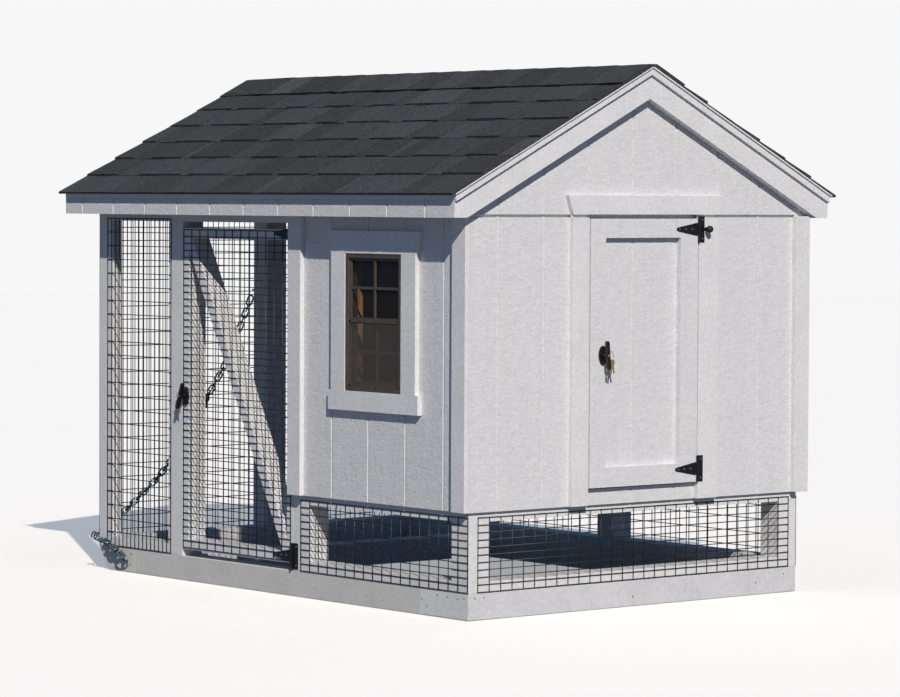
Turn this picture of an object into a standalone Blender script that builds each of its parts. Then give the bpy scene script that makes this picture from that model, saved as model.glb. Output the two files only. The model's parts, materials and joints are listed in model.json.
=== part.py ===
"""A chicken coop on skids: a small raised house with a door, a window and a pop door, and a wire run.

One roof covers both. Blender script, metres, +Z up. Sizes are written in inches, as the lumber is sold,
and turned to metres as each piece is made. The origin is on the ground under the middle of the whole coop.
+X is the house end, -Y the front.
"""
import math

import bmesh
import bpy
from mathutils import Matrix, Vector

INCH = 0.0254

# Gap left between two pieces that touch
GAP = 0.012

# Overall sizes
FRAME_LENGTH = 85.86
FRAME_WIDTH = 60.67
HOUSE_LENGTH = 37.96
WALL_TOP = 53.5
ROOF_SLOPE = 0.5

# Lumber and sheets
BEAM = 3.5
PLATE = 1.5
SIDING = 0.4375
TRIM = 0.75
MESH = 0.1

# Base
RUNNER_REACH = 0.16
SKID_CUT = 2.0
SKID_RISE = 2.7
RUN_BAY = 17.75

# House floor and wall heights
FLOOR_FRAME_BOTTOM = 12.95
SIDING_BOTTOM = 14.25
FLOOR_PANEL = 0.8
FLOOR_SEAT = 0.1
FLOOR_LAP = 0.5
SOFFIT_BOTTOM = 53.0
SOFFIT = 0.4
SEAM_HEIGHT = 53.24
SEAM_GAP = 0.42

# Roof
EAVE_REACH = 4.12
FASCIA = 0.5625
FASCIA_TOP = 56.3
DECK_AT_EAVE = 56.35
DECK = 0.55
SHINGLES = 0.45
SHINGLE_EAVE_REACH = 1.1
SHINGLE_RAKE_REACH = 0.3
SHINGLE_LEFT_REACH = 0.5625
RIDGE_CAP = 0.2
RIDGE_CAP_REACH = 4.2
BARGE = 1.25
BARGE_DROP = 4.45
RAKE_STRIP = 0.45
RAKE_STRIP_DROP = 1.2
LEFT_OVERHANG = 2.9
LEFT_BARGE = 0.75
RAFTER = 1.5
RAFTER_DEPTH = 3.9
RAFTER_PAIRS = 5

# Window in the front wall
WINDOW_FROM_END = 12.96
WINDOW_WIDTH = 12.1
WINDOW_BOTTOM = 29.3
WINDOW_HEIGHT = 18.7
WINDOW_FRAME = 0.6
WINDOW_DEPTH = 1.7
WINDOW_SETBACK = 0.1
CASING_SIDE = 3.1
CASING_SILL = 2.7
CASING_SILL_REACH = 0.6
CASING_HEADER = 3.1
CASING_HEADER_REACH = 0.9
SASH_RAIL = 0.8
SASH = 0.5
SASH_CLEARANCE = 0.06
LOWER_SASH_HEIGHT = 9.4
MUNTIN = 0.35
GLASS = 0.12

# House door in the gable wall
DOOR_WIDTH = 19.85
DOOR_OFFSET = -0.22
DOOR_BOTTOM = 16.6
DOOR_HEIGHT = 36.3
DOOR_CLEARANCE = 0.2
DOOR_STILE_LATCH = 2.75
DOOR_STILE_HINGE = 3.3
DOOR_BOTTOM_RAIL = 2.65
DOOR_TOP_RAIL = 2.6
DOOR_CASING_LATCH = 3.1
DOOR_CASING_HINGE = 3.9
DOOR_HEADER = 2.6
DOOR_HEADER_REACH = 0.9

# Run door in the front of the run
RUN_DOOR_BOTTOM = 4.55
RUN_DOOR_HEIGHT = 46.55
RUN_DOOR_CLEARANCE = 0.06
RUN_DOOR_DEPTH = 3.0
RUN_DOOR_RAIL = 1.5
RUN_DOOR_BRACE = 1.5

# How far the wire sheets reach over the frame
WIRE_INSET = 0.2
WIRE_BOTTOM = 0.1
WIRE_LAP = 0.65
CORNER_POST_SHOWS = 2.1
CORNER_POST_DEPTH = 1.5
LATCH_POST_LAP = 0.75
HOUSE_POST_SHOWS = 1.5

# Corner boards
CORNER_BOARD = 2.75
HOUSE_END_BOARD = 2.9

# Tee hinges
BARREL_RADIUS = 0.17
PIN_RADIUS = 0.08
PIN_CLEARANCE = 0.012
KNUCKLE_GAP = 0.03
HINGE_PLATE = 0.09
HINGE_HEIGHT = 3.6
HINGE_LEAF = 1.1
STRAP_LENGTH = 4.1
STRAP_ROOT = 1.8
STRAP_TIP = 0.5
DOOR_HINGE_INSET = 1.45
DOOR_HINGE_RISE = 0.4
RUN_HINGE_INSET = 1.05
RUN_TOP_HINGE_INSET = 0.6

# Turning handles
ROSE_WIDTH = 1.5
ROSE_HEIGHT = 2.6
ROSE = 0.22
SPINDLE_RADIUS = 0.19
SPINDLE_CLEARANCE = 0.05
STEM_RADIUS = 0.32
HANDLE_PROUD = 1.3625
HANDLE_LENGTH = 3.9
HANDLE_HEIGHT = 0.5
HANDLE_DEPTH = 0.45
CAM_REACH = 0.9
CAM = 0.14
CAM_WIDTH = 0.6
CAM_CLEARANCE = 0.15
DOOR_HANDLE_INSET = 2.2
DOOR_HANDLE_HEIGHT = 34.5
DOOR_HANDLE_TILT = 5.0
RUN_HANDLE_INSET = 1.1
RUN_HANDLE_HEIGHT = 26.85
RUN_HANDLE_TILT = -20.0

# Bumper that stops the house door
BUMPER_INSET = 1.4
BUMPER_RADIUS = 0.5
BUMPER_STEM = 0.28
BUMPER_PROUD = 0.8125

# Pop door between the house and the run, and the nest box
POP_WIDTH = 12.0
POP_HEIGHT = 13.0
POP_SILL = 17.0
POP_OFFSET = 8.0
POP_LAP = 0.75
POP_PANEL = 0.5
POP_LIFT = 12.0
POP_CLEARANCE = 0.08
GUIDE_WIDTH = 0.8
GUIDE_LIP = 0.5
NEST_COUNT = 2
NEST_WIDTH = 13.0
NEST_HEIGHT = 14.0
NEST_DEPTH = 12.5
NEST_BOARD = 0.7
NEST_LIP = 3.0
ROOST = 1.5
ROOST_HEIGHT = 33.0

# Tow chain at the run end
CHAIN_RADIUS = 0.4

# Worked-out places
RIGHT_REACH = SIDING + TRIM + HANDLE_PROUD
LEFT_REACH = LEFT_OVERHANG + SHINGLE_LEFT_REACH
RIGHT = (FRAME_LENGTH + LEFT_REACH - RIGHT_REACH) / 2
LEFT = RIGHT - FRAME_LENGTH
FRONT = -FRAME_WIDTH / 2
BACK = FRAME_WIDTH / 2
PARTITION = RIGHT - HOUSE_LENGTH
LATCH_POST = LEFT + RUN_BAY
WALL_FACE = RIGHT + SIDING
TRIM_FACE = WALL_FACE + TRIM
FRONT_WALL_FACE = FRONT - SIDING
FRONT_TRIM_FACE = FRONT_WALL_FACE - TRIM
SILL_TOP = BEAM + PLATE
PLATE_BOTTOM = WALL_TOP - PLATE
FLOOR_TOP = SIDING_BOTTOM + FLOOR_PANEL
EAVE = FRONT - EAVE_REACH
RIDGE_DECK = DECK_AT_EAVE - EAVE * ROOF_SLOPE
ROOF_LEFT = LEFT - LEFT_OVERHANG
ROOF_RIGHT = WALL_FACE + BARGE
DECK_DROP = DECK / math.cos(math.atan(ROOF_SLOPE))
WINDOW_RIGHT = RIGHT - WINDOW_FROM_END
WINDOW_LEFT = WINDOW_RIGHT - WINDOW_WIDTH
WINDOW_TOP = WINDOW_BOTTOM + WINDOW_HEIGHT
DOOR_LOW = DOOR_OFFSET - DOOR_WIDTH / 2
DOOR_HIGH = DOOR_OFFSET + DOOR_WIDTH / 2
DOOR_TOP = DOOR_BOTTOM + DOOR_HEIGHT
RUN_DOOR_LEFT = LATCH_POST + BEAM + RUN_DOOR_CLEARANCE
RUN_DOOR_RIGHT = PARTITION - RUN_DOOR_CLEARANCE
RUN_DOOR_TOP = RUN_DOOR_BOTTOM + RUN_DOOR_HEIGHT
RUN_DOOR_FACE = FRONT - GAP - MESH
DOOR_AXIS = (TRIM_FACE + GAP + BARREL_RADIUS, DOOR_HIGH)
RUN_AXIS = (PARTITION - GAP - BARREL_RADIUS, RUN_DOOR_FACE - GAP - BARREL_RADIUS)

WHITE = (0.80, 0.81, 0.83)
BARE = (0.62, 0.47, 0.30)
BLACK = (0.015, 0.015, 0.017)
BRONZE = (0.10, 0.065, 0.045)


def clear_scene():
    for obj in list(bpy.data.objects):
        bpy.data.objects.remove(obj, do_unlink=True)


def collection(name):
    made = bpy.data.collections.new(name)
    bpy.context.scene.collection.children.link(made)
    return made


def finish_of(name, colour, roughness, metallic):
    material = bpy.data.materials.new(name)
    material.use_nodes = True
    shader = material.node_tree.nodes["Principled BSDF"]
    shader.inputs["Base Color"].default_value = (*colour, 1.0)
    shader.inputs["Roughness"].default_value = roughness
    shader.inputs["Metallic"].default_value = metallic
    return material


def add_object(name, mesh, colour, roughness=0.6, metallic=0.0, smooth=False):
    mesh.name = name
    if smooth:
        mesh.shade_smooth()
        mesh.set_sharp_from_angle(angle=math.radians(35))
    mesh.materials.append(finish_of(name, colour, roughness, metallic))
    obj = bpy.data.objects.new(name, mesh)
    PARTS.objects.link(obj)
    return obj


def box_mesh(low, high):
    """A box between two corners given in inches."""
    low = Vector(low) * INCH
    high = Vector(high) * INCH
    shape = bmesh.new()
    bmesh.ops.create_cube(shape, size=1.0)
    bmesh.ops.scale(shape, vec=high - low, verts=shape.verts)
    bmesh.ops.translate(shape, vec=(low + high) / 2, verts=shape.verts)
    mesh = bpy.data.meshes.new("box")
    shape.to_mesh(mesh)
    shape.free()
    return mesh


def cylinder_mesh(radius, start, end, sides=20):
    """A round bar between two points given in inches."""
    start = Vector(start) * INCH
    end = Vector(end) * INCH
    along = end - start
    turn = Vector((0, 0, 1)).rotation_difference(along).to_matrix().to_4x4()
    place = Matrix.Translation((start + end) / 2) @ turn
    shape = bmesh.new()
    bmesh.ops.create_cone(
        shape,
        cap_ends=True,
        segments=sides,
        radius1=radius * INCH,
        radius2=radius * INCH,
        depth=along.length,
        matrix=place,
    )
    mesh = bpy.data.meshes.new("cylinder")
    shape.to_mesh(mesh)
    shape.free()
    return mesh


def outline_mesh(outlines, low, high, facing="X"):
    """A flat piece: closed outlines, the first one the edge and the others holes, thick from low to high.

    facing X takes (y, z) points, facing Y takes (x, z) points and facing Z takes (x, y) points, in inches.
    """
    curve = bpy.data.curves.new("outline", "CURVE")
    curve.dimensions = "2D"
    curve.fill_mode = "BOTH"
    curve.extrude = (high - low) / 2 * INCH
    for outline in outlines:
        spline = curve.splines.new("POLY")
        spline.points.add(len(outline) - 1)
        for point, (u, v) in zip(spline.points, outline):
            point.co = (u * INCH, v * INCH, 0, 1)
        spline.use_cyclic_u = True
    axes = {
        "X": Matrix(((0, 0, 1), (1, 0, 0), (0, 1, 0))),
        "Y": Matrix(((1, 0, 0), (0, 0, -1), (0, 1, 0))),
        "Z": Matrix.Identity(3),
    }[facing]
    middle = (low + high) / 2 * INCH
    offset = {"X": (middle, 0, 0), "Y": (0, middle, 0), "Z": (0, 0, middle)}[facing]
    flat = bpy.data.objects.new("outline", curve)
    bpy.context.scene.collection.objects.link(flat)
    graph = bpy.context.evaluated_depsgraph_get()
    mesh = bpy.data.meshes.new_from_object(flat.evaluated_get(graph))
    bpy.data.objects.remove(flat, do_unlink=True)
    bpy.data.curves.remove(curve)
    mesh.transform(Matrix.Translation(offset) @ axes.to_4x4())
    shape = bmesh.new()
    shape.from_mesh(mesh)
    bmesh.ops.remove_doubles(shape, verts=shape.verts, dist=0.00001)
    bmesh.ops.recalc_face_normals(shape, faces=shape.faces)
    shape.to_mesh(mesh)
    shape.free()
    mesh.materials.clear()
    return mesh


def rectangle(low_u, high_u, low_v, high_v):
    return [(low_u, low_v), (high_u, low_v), (high_u, high_v), (low_u, high_v)]


def oval(width, height, steps=24):
    """An ellipse about the origin, for a plate with round ends."""
    angles = [2 * math.pi * step / steps for step in range(steps)]
    return [(width / 2 * math.cos(a), height / 2 * math.sin(a)) for a in angles]


def combine(target, mesh, operation):
    """Adds a hidden helper made of the mesh and joins it to the target, or cuts it from the target."""
    helper = bpy.data.objects.new(f"{target.name}_{operation.lower()}", mesh)
    CUTTERS.objects.link(helper)
    helper.hide_render = True
    helper.display_type = "WIRE"
    helper.matrix_world = target.matrix_world.copy()
    modifier = target.modifiers.new(operation.title(), "BOOLEAN")
    modifier.operation = operation
    modifier.object = helper


def join(target, *meshes):
    for mesh in meshes:
        combine(target, mesh, "UNION")


def cut(target, *meshes):
    for mesh in meshes:
        combine(target, mesh, "DIFFERENCE")


def painted(name, mesh):
    return add_object(name, mesh, WHITE, 0.6)


def deck_height(y, drop=0.0):
    """Height of the roof deck's top at y, less a drop measured straight down."""
    return RIDGE_DECK - abs(y) * ROOF_SLOPE - drop


def make_base():
    """Two skids with their run ends cut back, and three cross beams between them."""
    runner_left = LEFT - RUNNER_REACH
    outline = [
        (runner_left, BEAM),
        (runner_left + SKID_CUT, BEAM - SKID_RISE),
        (runner_left + SKID_CUT + BEAM - SKID_RISE, 0),
        (RIGHT, 0),
        (RIGHT, BEAM),
    ]
    painted("runner_front", outline_mesh([outline], FRONT, FRONT + BEAM, "Y"))
    painted("runner_back", outline_mesh([outline], BACK - BEAM, BACK, "Y"))
    inner = FRONT + BEAM + GAP
    starts = {"beam_left": LEFT, "beam_middle": LATCH_POST, "beam_right": RIGHT - BEAM}
    for name, start in starts.items():
        low = (start, inner, 0.0)
        high = (start + BEAM, -inner, BEAM)
        painted(name, box_mesh(low, high))


def make_sill_plates():
    """Flat plates on the base, in one ring that is open under the run door."""
    bottom = BEAM + GAP
    inner_front = FRONT + BEAM
    inner_back = BACK - BEAM
    outline = [
        (LATCH_POST + BEAM, FRONT),
        (LATCH_POST + BEAM, inner_front),
        (LEFT + BEAM, inner_front),
        (LEFT + BEAM, inner_back),
        (RIGHT - BEAM, inner_back),
        (RIGHT - BEAM, inner_front),
        (PARTITION, inner_front),
        (PARTITION, FRONT),
        (RIGHT, FRONT),
        (RIGHT, BACK),
        (LEFT, BACK),
        (LEFT, FRONT),
    ]
    painted("sill_plates", outline_mesh([outline], bottom, SILL_TOP, "Z"))


def make_posts():
    """Posts from the sill plates to the top plates: all square but the flat one at the run's front corner."""
    columns = {"left": LEFT, "middle": LATCH_POST, "partition": PARTITION, "right": RIGHT - BEAM}
    rows = {"front": FRONT, "back": BACK - BEAM}
    bottom = SILL_TOP + GAP
    top = PLATE_BOTTOM - GAP
    for row, y in rows.items():
        for column, x in columns.items():
            depth = CORNER_POST_DEPTH if (row, column) == ("front", "left") else BEAM
            painted(f"post_{row}_{column}", box_mesh((x, y, bottom), (x + BEAM, y + depth, top)))
    painted("post_left_centre", box_mesh((LEFT, -BEAM / 2, bottom), (LEFT + BEAM, BEAM / 2, top)))


def make_top_plates():
    """A ring of flat plates on the posts, with a tie over the partition."""
    bays = (
        (LEFT + BEAM, PARTITION),
        (PARTITION + BEAM, RIGHT - BEAM),
    )
    holes = [rectangle(low, high, FRONT + BEAM, BACK - BEAM) for low, high in bays]
    edge = rectangle(LEFT, RIGHT, FRONT, BACK)
    painted("top_plates", outline_mesh([edge, *holes], PLATE_BOTTOM, WALL_TOP, "Z"))


def make_floor():
    """The house floor: a panel on a frame of flat boards, held between the four house posts."""
    left = PARTITION + BEAM + GAP
    right = RIGHT - BEAM - GAP
    seat = SIDING_BOTTOM - FLOOR_SEAT
    panel = box_mesh((left, FRONT, seat), (right, BACK, FLOOR_TOP))
    floor = add_object("house_floor", panel, BARE)
    frame_hole = rectangle(left + BEAM, right - BEAM, FRONT + BEAM, BACK - BEAM)
    frame = outline_mesh(
        [rectangle(left, right, FRONT, BACK), frame_hole], FLOOR_FRAME_BOTTOM, SIDING_BOTTOM, "Z"
    )
    join(floor, frame)
    between = FRONT + BEAM + GAP
    by_partition = PARTITION + SIDING + 2 * GAP
    ends = (
        box_mesh((right - FLOOR_LAP, between, FLOOR_FRAME_BOTTOM), (RIGHT, -between, FLOOR_TOP)),
        box_mesh((by_partition, between, seat), (left + FLOOR_LAP, -between, FLOOR_TOP)),
    )
    join(floor, *ends)


def make_walls():
    """Grooved siding sheets on the front, back and house end, and the gable sheet of the run end."""
    bottom = SIDING_BOTTOM
    top = SOFFIT_BOTTOM - GAP
    window = rectangle(WINDOW_LEFT, WINDOW_RIGHT, WINDOW_BOTTOM, WINDOW_TOP)
    sheet = rectangle(PARTITION, WALL_FACE, bottom, top)
    painted("siding_front", outline_mesh([sheet, window], FRONT_WALL_FACE, FRONT - GAP, "Y"))
    painted("siding_back", outline_mesh([sheet], BACK + GAP, -FRONT_WALL_FACE, "Y"))

    low_z = DOOR_BOTTOM - DOOR_CLEARANCE
    edge = FRONT
    lower = [
        (edge, bottom),
        (-edge, bottom),
        (-edge, SEAM_HEIGHT - SEAM_GAP / 2),
        (DOOR_HIGH + DOOR_CLEARANCE, SEAM_HEIGHT - SEAM_GAP / 2),
        (DOOR_HIGH + DOOR_CLEARANCE, low_z),
        (DOOR_LOW - DOOR_CLEARANCE, low_z),
        (DOOR_LOW - DOOR_CLEARANCE, SEAM_HEIGHT - SEAM_GAP / 2),
        (edge, SEAM_HEIGHT - SEAM_GAP / 2),
    ]
    painted("siding_right", outline_mesh([lower], RIGHT + GAP, WALL_FACE, "X"))
    drop = DECK_DROP + GAP
    gable = [
        (edge, SEAM_HEIGHT + SEAM_GAP / 2),
        (-edge, SEAM_HEIGHT + SEAM_GAP / 2),
        (-edge, deck_height(edge, drop)),
        (0, deck_height(0, drop)),
        (edge, deck_height(edge, drop)),
    ]
    painted("gable_right", outline_mesh([gable], RIGHT + GAP, WALL_FACE, "X"))
    left_gable = [(edge, SOFFIT_BOTTOM), (-edge, SOFFIT_BOTTOM), *gable[2:]]
    gable_left = painted("gable_left", outline_mesh([left_gable], LEFT - SIDING, LEFT - GAP, "X"))
    barge = outline_mesh([barge_outline()], ROOF_LEFT, ROOF_LEFT + LEFT_BARGE, "X")
    lookout_low = deck_height(0, BARGE_DROP)
    lookout = box_mesh(
        (ROOF_LEFT + LEFT_BARGE / 2, -PLATE / 2, lookout_low),
        (LEFT - SIDING / 2, PLATE / 2, deck_height(PLATE / 2, drop)),
    )
    join(gable_left, barge, lookout)


def make_trim():
    """Boards on the corners of the house."""
    low = SIDING_BOTTOM
    high = SOFFIT_BOTTOM - GAP
    back_of = FRONT_WALL_FACE - GAP
    boards = {
        "trim_house_left": (PARTITION, PARTITION + HOUSE_END_BOARD),
        "trim_corner_front": (WALL_FACE - CORNER_BOARD, WALL_FACE),
    }
    for name, (start, end) in boards.items():
        painted(name, box_mesh((start, FRONT_TRIM_FACE, low), (end, back_of, high)))
    end_board = -FRONT_TRIM_FACE
    painted(
        "trim_corner_right",
        box_mesh((WALL_FACE + GAP, end_board - CORNER_BOARD, low), (TRIM_FACE, end_board, SEAM_HEIGHT)),
    )


def make_window():
    """A single-hung metal window: a frame with the fixed upper sash, the sliding lower sash, two panes."""
    low_x = WINDOW_LEFT
    high_x = WINDOW_RIGHT
    low_z = WINDOW_BOTTOM
    high_z = WINDOW_TOP

    casing = [
        (low_x - CASING_SIDE - CASING_SILL_REACH, low_z - CASING_SILL),
        (high_x + CASING_SIDE + CASING_SILL_REACH, low_z - CASING_SILL),
        (high_x + CASING_SIDE + CASING_SILL_REACH, low_z),
        (high_x + CASING_SIDE, low_z),
        (high_x + CASING_SIDE, high_z),
        (high_x + CASING_SIDE + CASING_HEADER_REACH, high_z + CASING_HEADER),
        (low_x - CASING_SIDE - CASING_HEADER_REACH, high_z + CASING_HEADER),
        (low_x - CASING_SIDE, high_z),
        (low_x - CASING_SIDE, low_z),
        (low_x - CASING_SIDE - CASING_SILL_REACH, low_z),
    ]
    opening = rectangle(low_x, high_x, low_z, high_z)
    painted(
        "window_casing",
        outline_mesh([casing, opening], FRONT_TRIM_FACE, FRONT_WALL_FACE - GAP, "Y"),
    )

    face = FRONT_TRIM_FACE + WINDOW_SETBACK
    outer = rectangle(low_x + GAP, high_x - GAP, low_z + GAP, high_z - GAP)
    inner_low_x = low_x + WINDOW_FRAME
    inner_high_x = high_x - WINDOW_FRAME
    inner_low_z = low_z + WINDOW_FRAME
    inner_high_z = high_z - WINDOW_FRAME
    inner = rectangle(inner_low_x, inner_high_x, inner_low_z, inner_high_z)
    frame = add_object(
        "window_frame", outline_mesh([outer, inner], face, face + WINDOW_DEPTH, "Y"), BRONZE, 0.4, 0.6
    )
    meeting = inner_low_z + LOWER_SASH_HEIGHT
    middle_x = (inner_low_x + inner_high_x) / 2
    upper_middle = (meeting + inner_high_z) / 2
    upper_edge = rectangle(inner_low_x - 0.1, inner_high_x + 0.1, meeting - SASH_RAIL, inner_high_z + 0.1)
    half = MUNTIN / 2
    columns = (
        (inner_low_x + SASH_RAIL / 2, middle_x - half),
        (middle_x + half, inner_high_x - SASH_RAIL / 2),
    )
    upper_rows = ((meeting, upper_middle - half), (upper_middle + half, inner_high_z - SASH_RAIL / 2))
    lights = [rectangle(*column, *row) for row in upper_rows for column in columns]
    sash_face = face + 0.25
    join(frame, outline_mesh([upper_edge, *lights], sash_face, sash_face + SASH / 2, "Y"))
    pane_face = sash_face + SASH / 2 + GAP
    add_object(
        "glass_upper",
        box_mesh(
            (inner_low_x + GAP, pane_face, meeting - SASH_RAIL + GAP),
            (inner_high_x - GAP, pane_face + GLASS, inner_high_z - GAP),
        ),
        (0.2, 0.25, 0.28),
        0.05,
    )

    slide_low_x = inner_low_x + SASH_CLEARANCE
    slide_high_x = inner_high_x - SASH_CLEARANCE
    slide_low_z = inner_low_z + SASH_CLEARANCE
    slide_high_z = slide_low_z + LOWER_SASH_HEIGHT
    middle_z = (slide_low_z + slide_high_z) / 2
    lower_columns = (
        (slide_low_x + SASH_RAIL, middle_x - half),
        (middle_x + half, slide_high_x - SASH_RAIL),
    )
    lower_rows = (
        (slide_low_z + SASH_RAIL, middle_z - half),
        (middle_z + half, slide_high_z - SASH_RAIL),
    )
    lower_lights = [rectangle(*column, *row) for row in lower_rows for column in lower_columns]
    lower_face = pane_face + GLASS + SASH_CLEARANCE
    lower_edge = rectangle(slide_low_x, slide_high_x, slide_low_z, slide_high_z)
    add_object(
        "sash_lower",
        outline_mesh([lower_edge, *lower_lights], lower_face, lower_face + SASH / 2, "Y"),
        BRONZE,
        0.4,
        0.6,
    )
    lower_pane = lower_face + SASH / 2 + GAP
    add_object(
        "glass_lower",
        box_mesh((slide_low_x, lower_pane, slide_low_z), (slide_high_x, lower_pane + GLASS, slide_high_z)),
        (0.2, 0.25, 0.28),
        0.05,
    )


def make_door():
    """The house door, a panel with boards round its edge, and the casing boards round its opening."""
    door = painted(
        "door_right",
        box_mesh((RIGHT + GAP, DOOR_LOW, DOOR_BOTTOM), (TRIM_FACE, DOOR_HIGH, DOOR_TOP)),
    )
    recess_low = DOOR_LOW + DOOR_STILE_LATCH
    recess_high = DOOR_HIGH - DOOR_STILE_HINGE
    cut(
        door,
        box_mesh(
            (WALL_FACE, recess_low, DOOR_BOTTOM + DOOR_BOTTOM_RAIL),
            (TRIM_FACE + 1, recess_high, DOOR_TOP - DOOR_TOP_RAIL),
        ),
    )
    inner_low = DOOR_LOW - DOOR_CLEARANCE
    inner_high = DOOR_HIGH + DOOR_CLEARANCE
    outer_low = DOOR_LOW - DOOR_CASING_LATCH
    outer_high = DOOR_HIGH + DOOR_CASING_HINGE
    header_bottom = SEAM_HEIGHT + SEAM_GAP / 2
    header_top = header_bottom + DOOR_HEADER
    header = [
        (outer_low, header_bottom),
        (outer_high, header_bottom),
        (outer_high + DOOR_HEADER_REACH, header_top),
        (outer_low - DOOR_HEADER_REACH, header_top),
    ]
    casing = painted("door_casing", outline_mesh([header], WALL_FACE + GAP, TRIM_FACE, "X"))
    seat = header_bottom + DOOR_HEADER / 2
    sides = ((outer_low, inner_low), (inner_high, outer_high))
    join(casing, *[box_mesh((WALL_FACE + GAP, a, SIDING_BOTTOM), (TRIM_FACE, b, seat)) for a, b in sides])


def make_run_door():
    """The run door: a deep frame with a diagonal brace, and its wire sheet on the outside."""
    low_x = RUN_DOOR_LEFT
    high_x = RUN_DOOR_RIGHT
    low_z = RUN_DOOR_BOTTOM
    high_z = RUN_DOOR_TOP
    in_low_x = low_x + RUN_DOOR_RAIL
    in_high_x = high_x - RUN_DOOR_RAIL
    in_low_z = low_z + RUN_DOOR_RAIL
    in_high_z = high_z - RUN_DOOR_RAIL
    rise = in_high_z - in_low_z
    run = in_high_x - in_low_x
    angle = math.atan2(rise, run)
    off_x = RUN_DOOR_BRACE / math.sin(angle) / 2
    off_z = RUN_DOOR_BRACE / math.cos(angle) / 2
    below = [(in_low_x, in_low_z), (in_high_x - off_x, in_low_z), (in_low_x, in_high_z - off_z)]
    above = [(in_high_x, in_high_z), (in_low_x + off_x, in_high_z), (in_high_x, in_low_z + off_z)]
    edge = rectangle(low_x, high_x, low_z, high_z)
    door = painted(
        "run_door",
        outline_mesh([edge, below, above], FRONT, FRONT + RUN_DOOR_DEPTH, "Y"),
    )
    wire = add_object(
        "mesh_run_door",
        box_mesh(
            (low_x + WIRE_INSET, RUN_DOOR_FACE, low_z + WIRE_INSET),
            (RUN_AXIS[0] - BARREL_RADIUS - WIRE_INSET, FRONT - GAP, high_z - WIRE_INSET),
        ),
        BLACK,
    )
    return door, wire


def make_wire_sheets():
    """Flat wire sheets on the outside of the frame."""
    outer = RUN_DOOR_FACE
    inner = FRONT - GAP
    low_z = BEAM + WIRE_BOTTOM
    under_top = FLOOR_FRAME_BOTTOM + WIRE_LAP
    run_top = PLATE_BOTTOM + 2 * WIRE_INSET
    house_start = PARTITION + HOUSE_POST_SHOWS + WIRE_INSET
    sheets = {
        "mesh_front_left": (
            (LEFT + CORNER_POST_SHOWS, outer, low_z),
            (LATCH_POST + LATCH_POST_LAP, inner, run_top),
        ),
        "mesh_house_front": ((house_start, outer, low_z), (RIGHT, inner, under_top)),
        "mesh_house_right": (
            (RIGHT + GAP, FRONT + HOUSE_POST_SHOWS, low_z),
            (RIGHT + GAP + MESH, BACK - HOUSE_POST_SHOWS, under_top),
        ),
        "mesh_left_end": (
            (LEFT - GAP - MESH, FRONT, low_z),
            (LEFT - GAP, BACK, SOFFIT_BOTTOM - GAP),
        ),
    }
    for name, (low, high) in sheets.items():
        add_object(name, box_mesh(low, high), BLACK)
    back_outline = [
        (LEFT, low_z),
        (RIGHT, low_z),
        (RIGHT, under_top),
        (PARTITION - WIRE_INSET, under_top),
        (PARTITION - WIRE_INSET, run_top),
        (LEFT, run_top),
    ]
    add_object("mesh_back", outline_mesh([back_outline], -inner, -outer, "Y"), BLACK)


def barge_outline():
    """A pair of sloping boards seen from the end, cut level at their feet."""
    top = DECK_DROP + GAP
    knee = (RIDGE_DECK - BARGE_DROP - SOFFIT_BOTTOM) / ROOF_SLOPE
    return [
        (EAVE, SOFFIT_BOTTOM),
        (EAVE, deck_height(EAVE, top)),
        (0, deck_height(0, top)),
        (-EAVE, deck_height(EAVE, top)),
        (-EAVE, SOFFIT_BOTTOM),
        (knee, SOFFIT_BOTTOM),
        (0, deck_height(0, BARGE_DROP)),
        (-knee, SOFFIT_BOTTOM),
    ]


def make_barge():
    """The barge boards of the house end, with a narrow strip in front of their top edge."""
    seat = 0.05
    pair = outline_mesh([barge_outline()], WALL_FACE + GAP, ROOF_RIGHT + seat, "X")
    boards = painted("barge_right", pair)
    strip = [
        (EAVE, deck_height(EAVE)),
        (0, deck_height(0)),
        (-EAVE, deck_height(EAVE)),
        (-EAVE, deck_height(EAVE, RAKE_STRIP_DROP)),
        (0, deck_height(0, RAKE_STRIP_DROP)),
        (EAVE, deck_height(EAVE, RAKE_STRIP_DROP)),
    ]
    join(boards, outline_mesh([strip], ROOF_RIGHT, ROOF_RIGHT + RAKE_STRIP, "X"))


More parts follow.
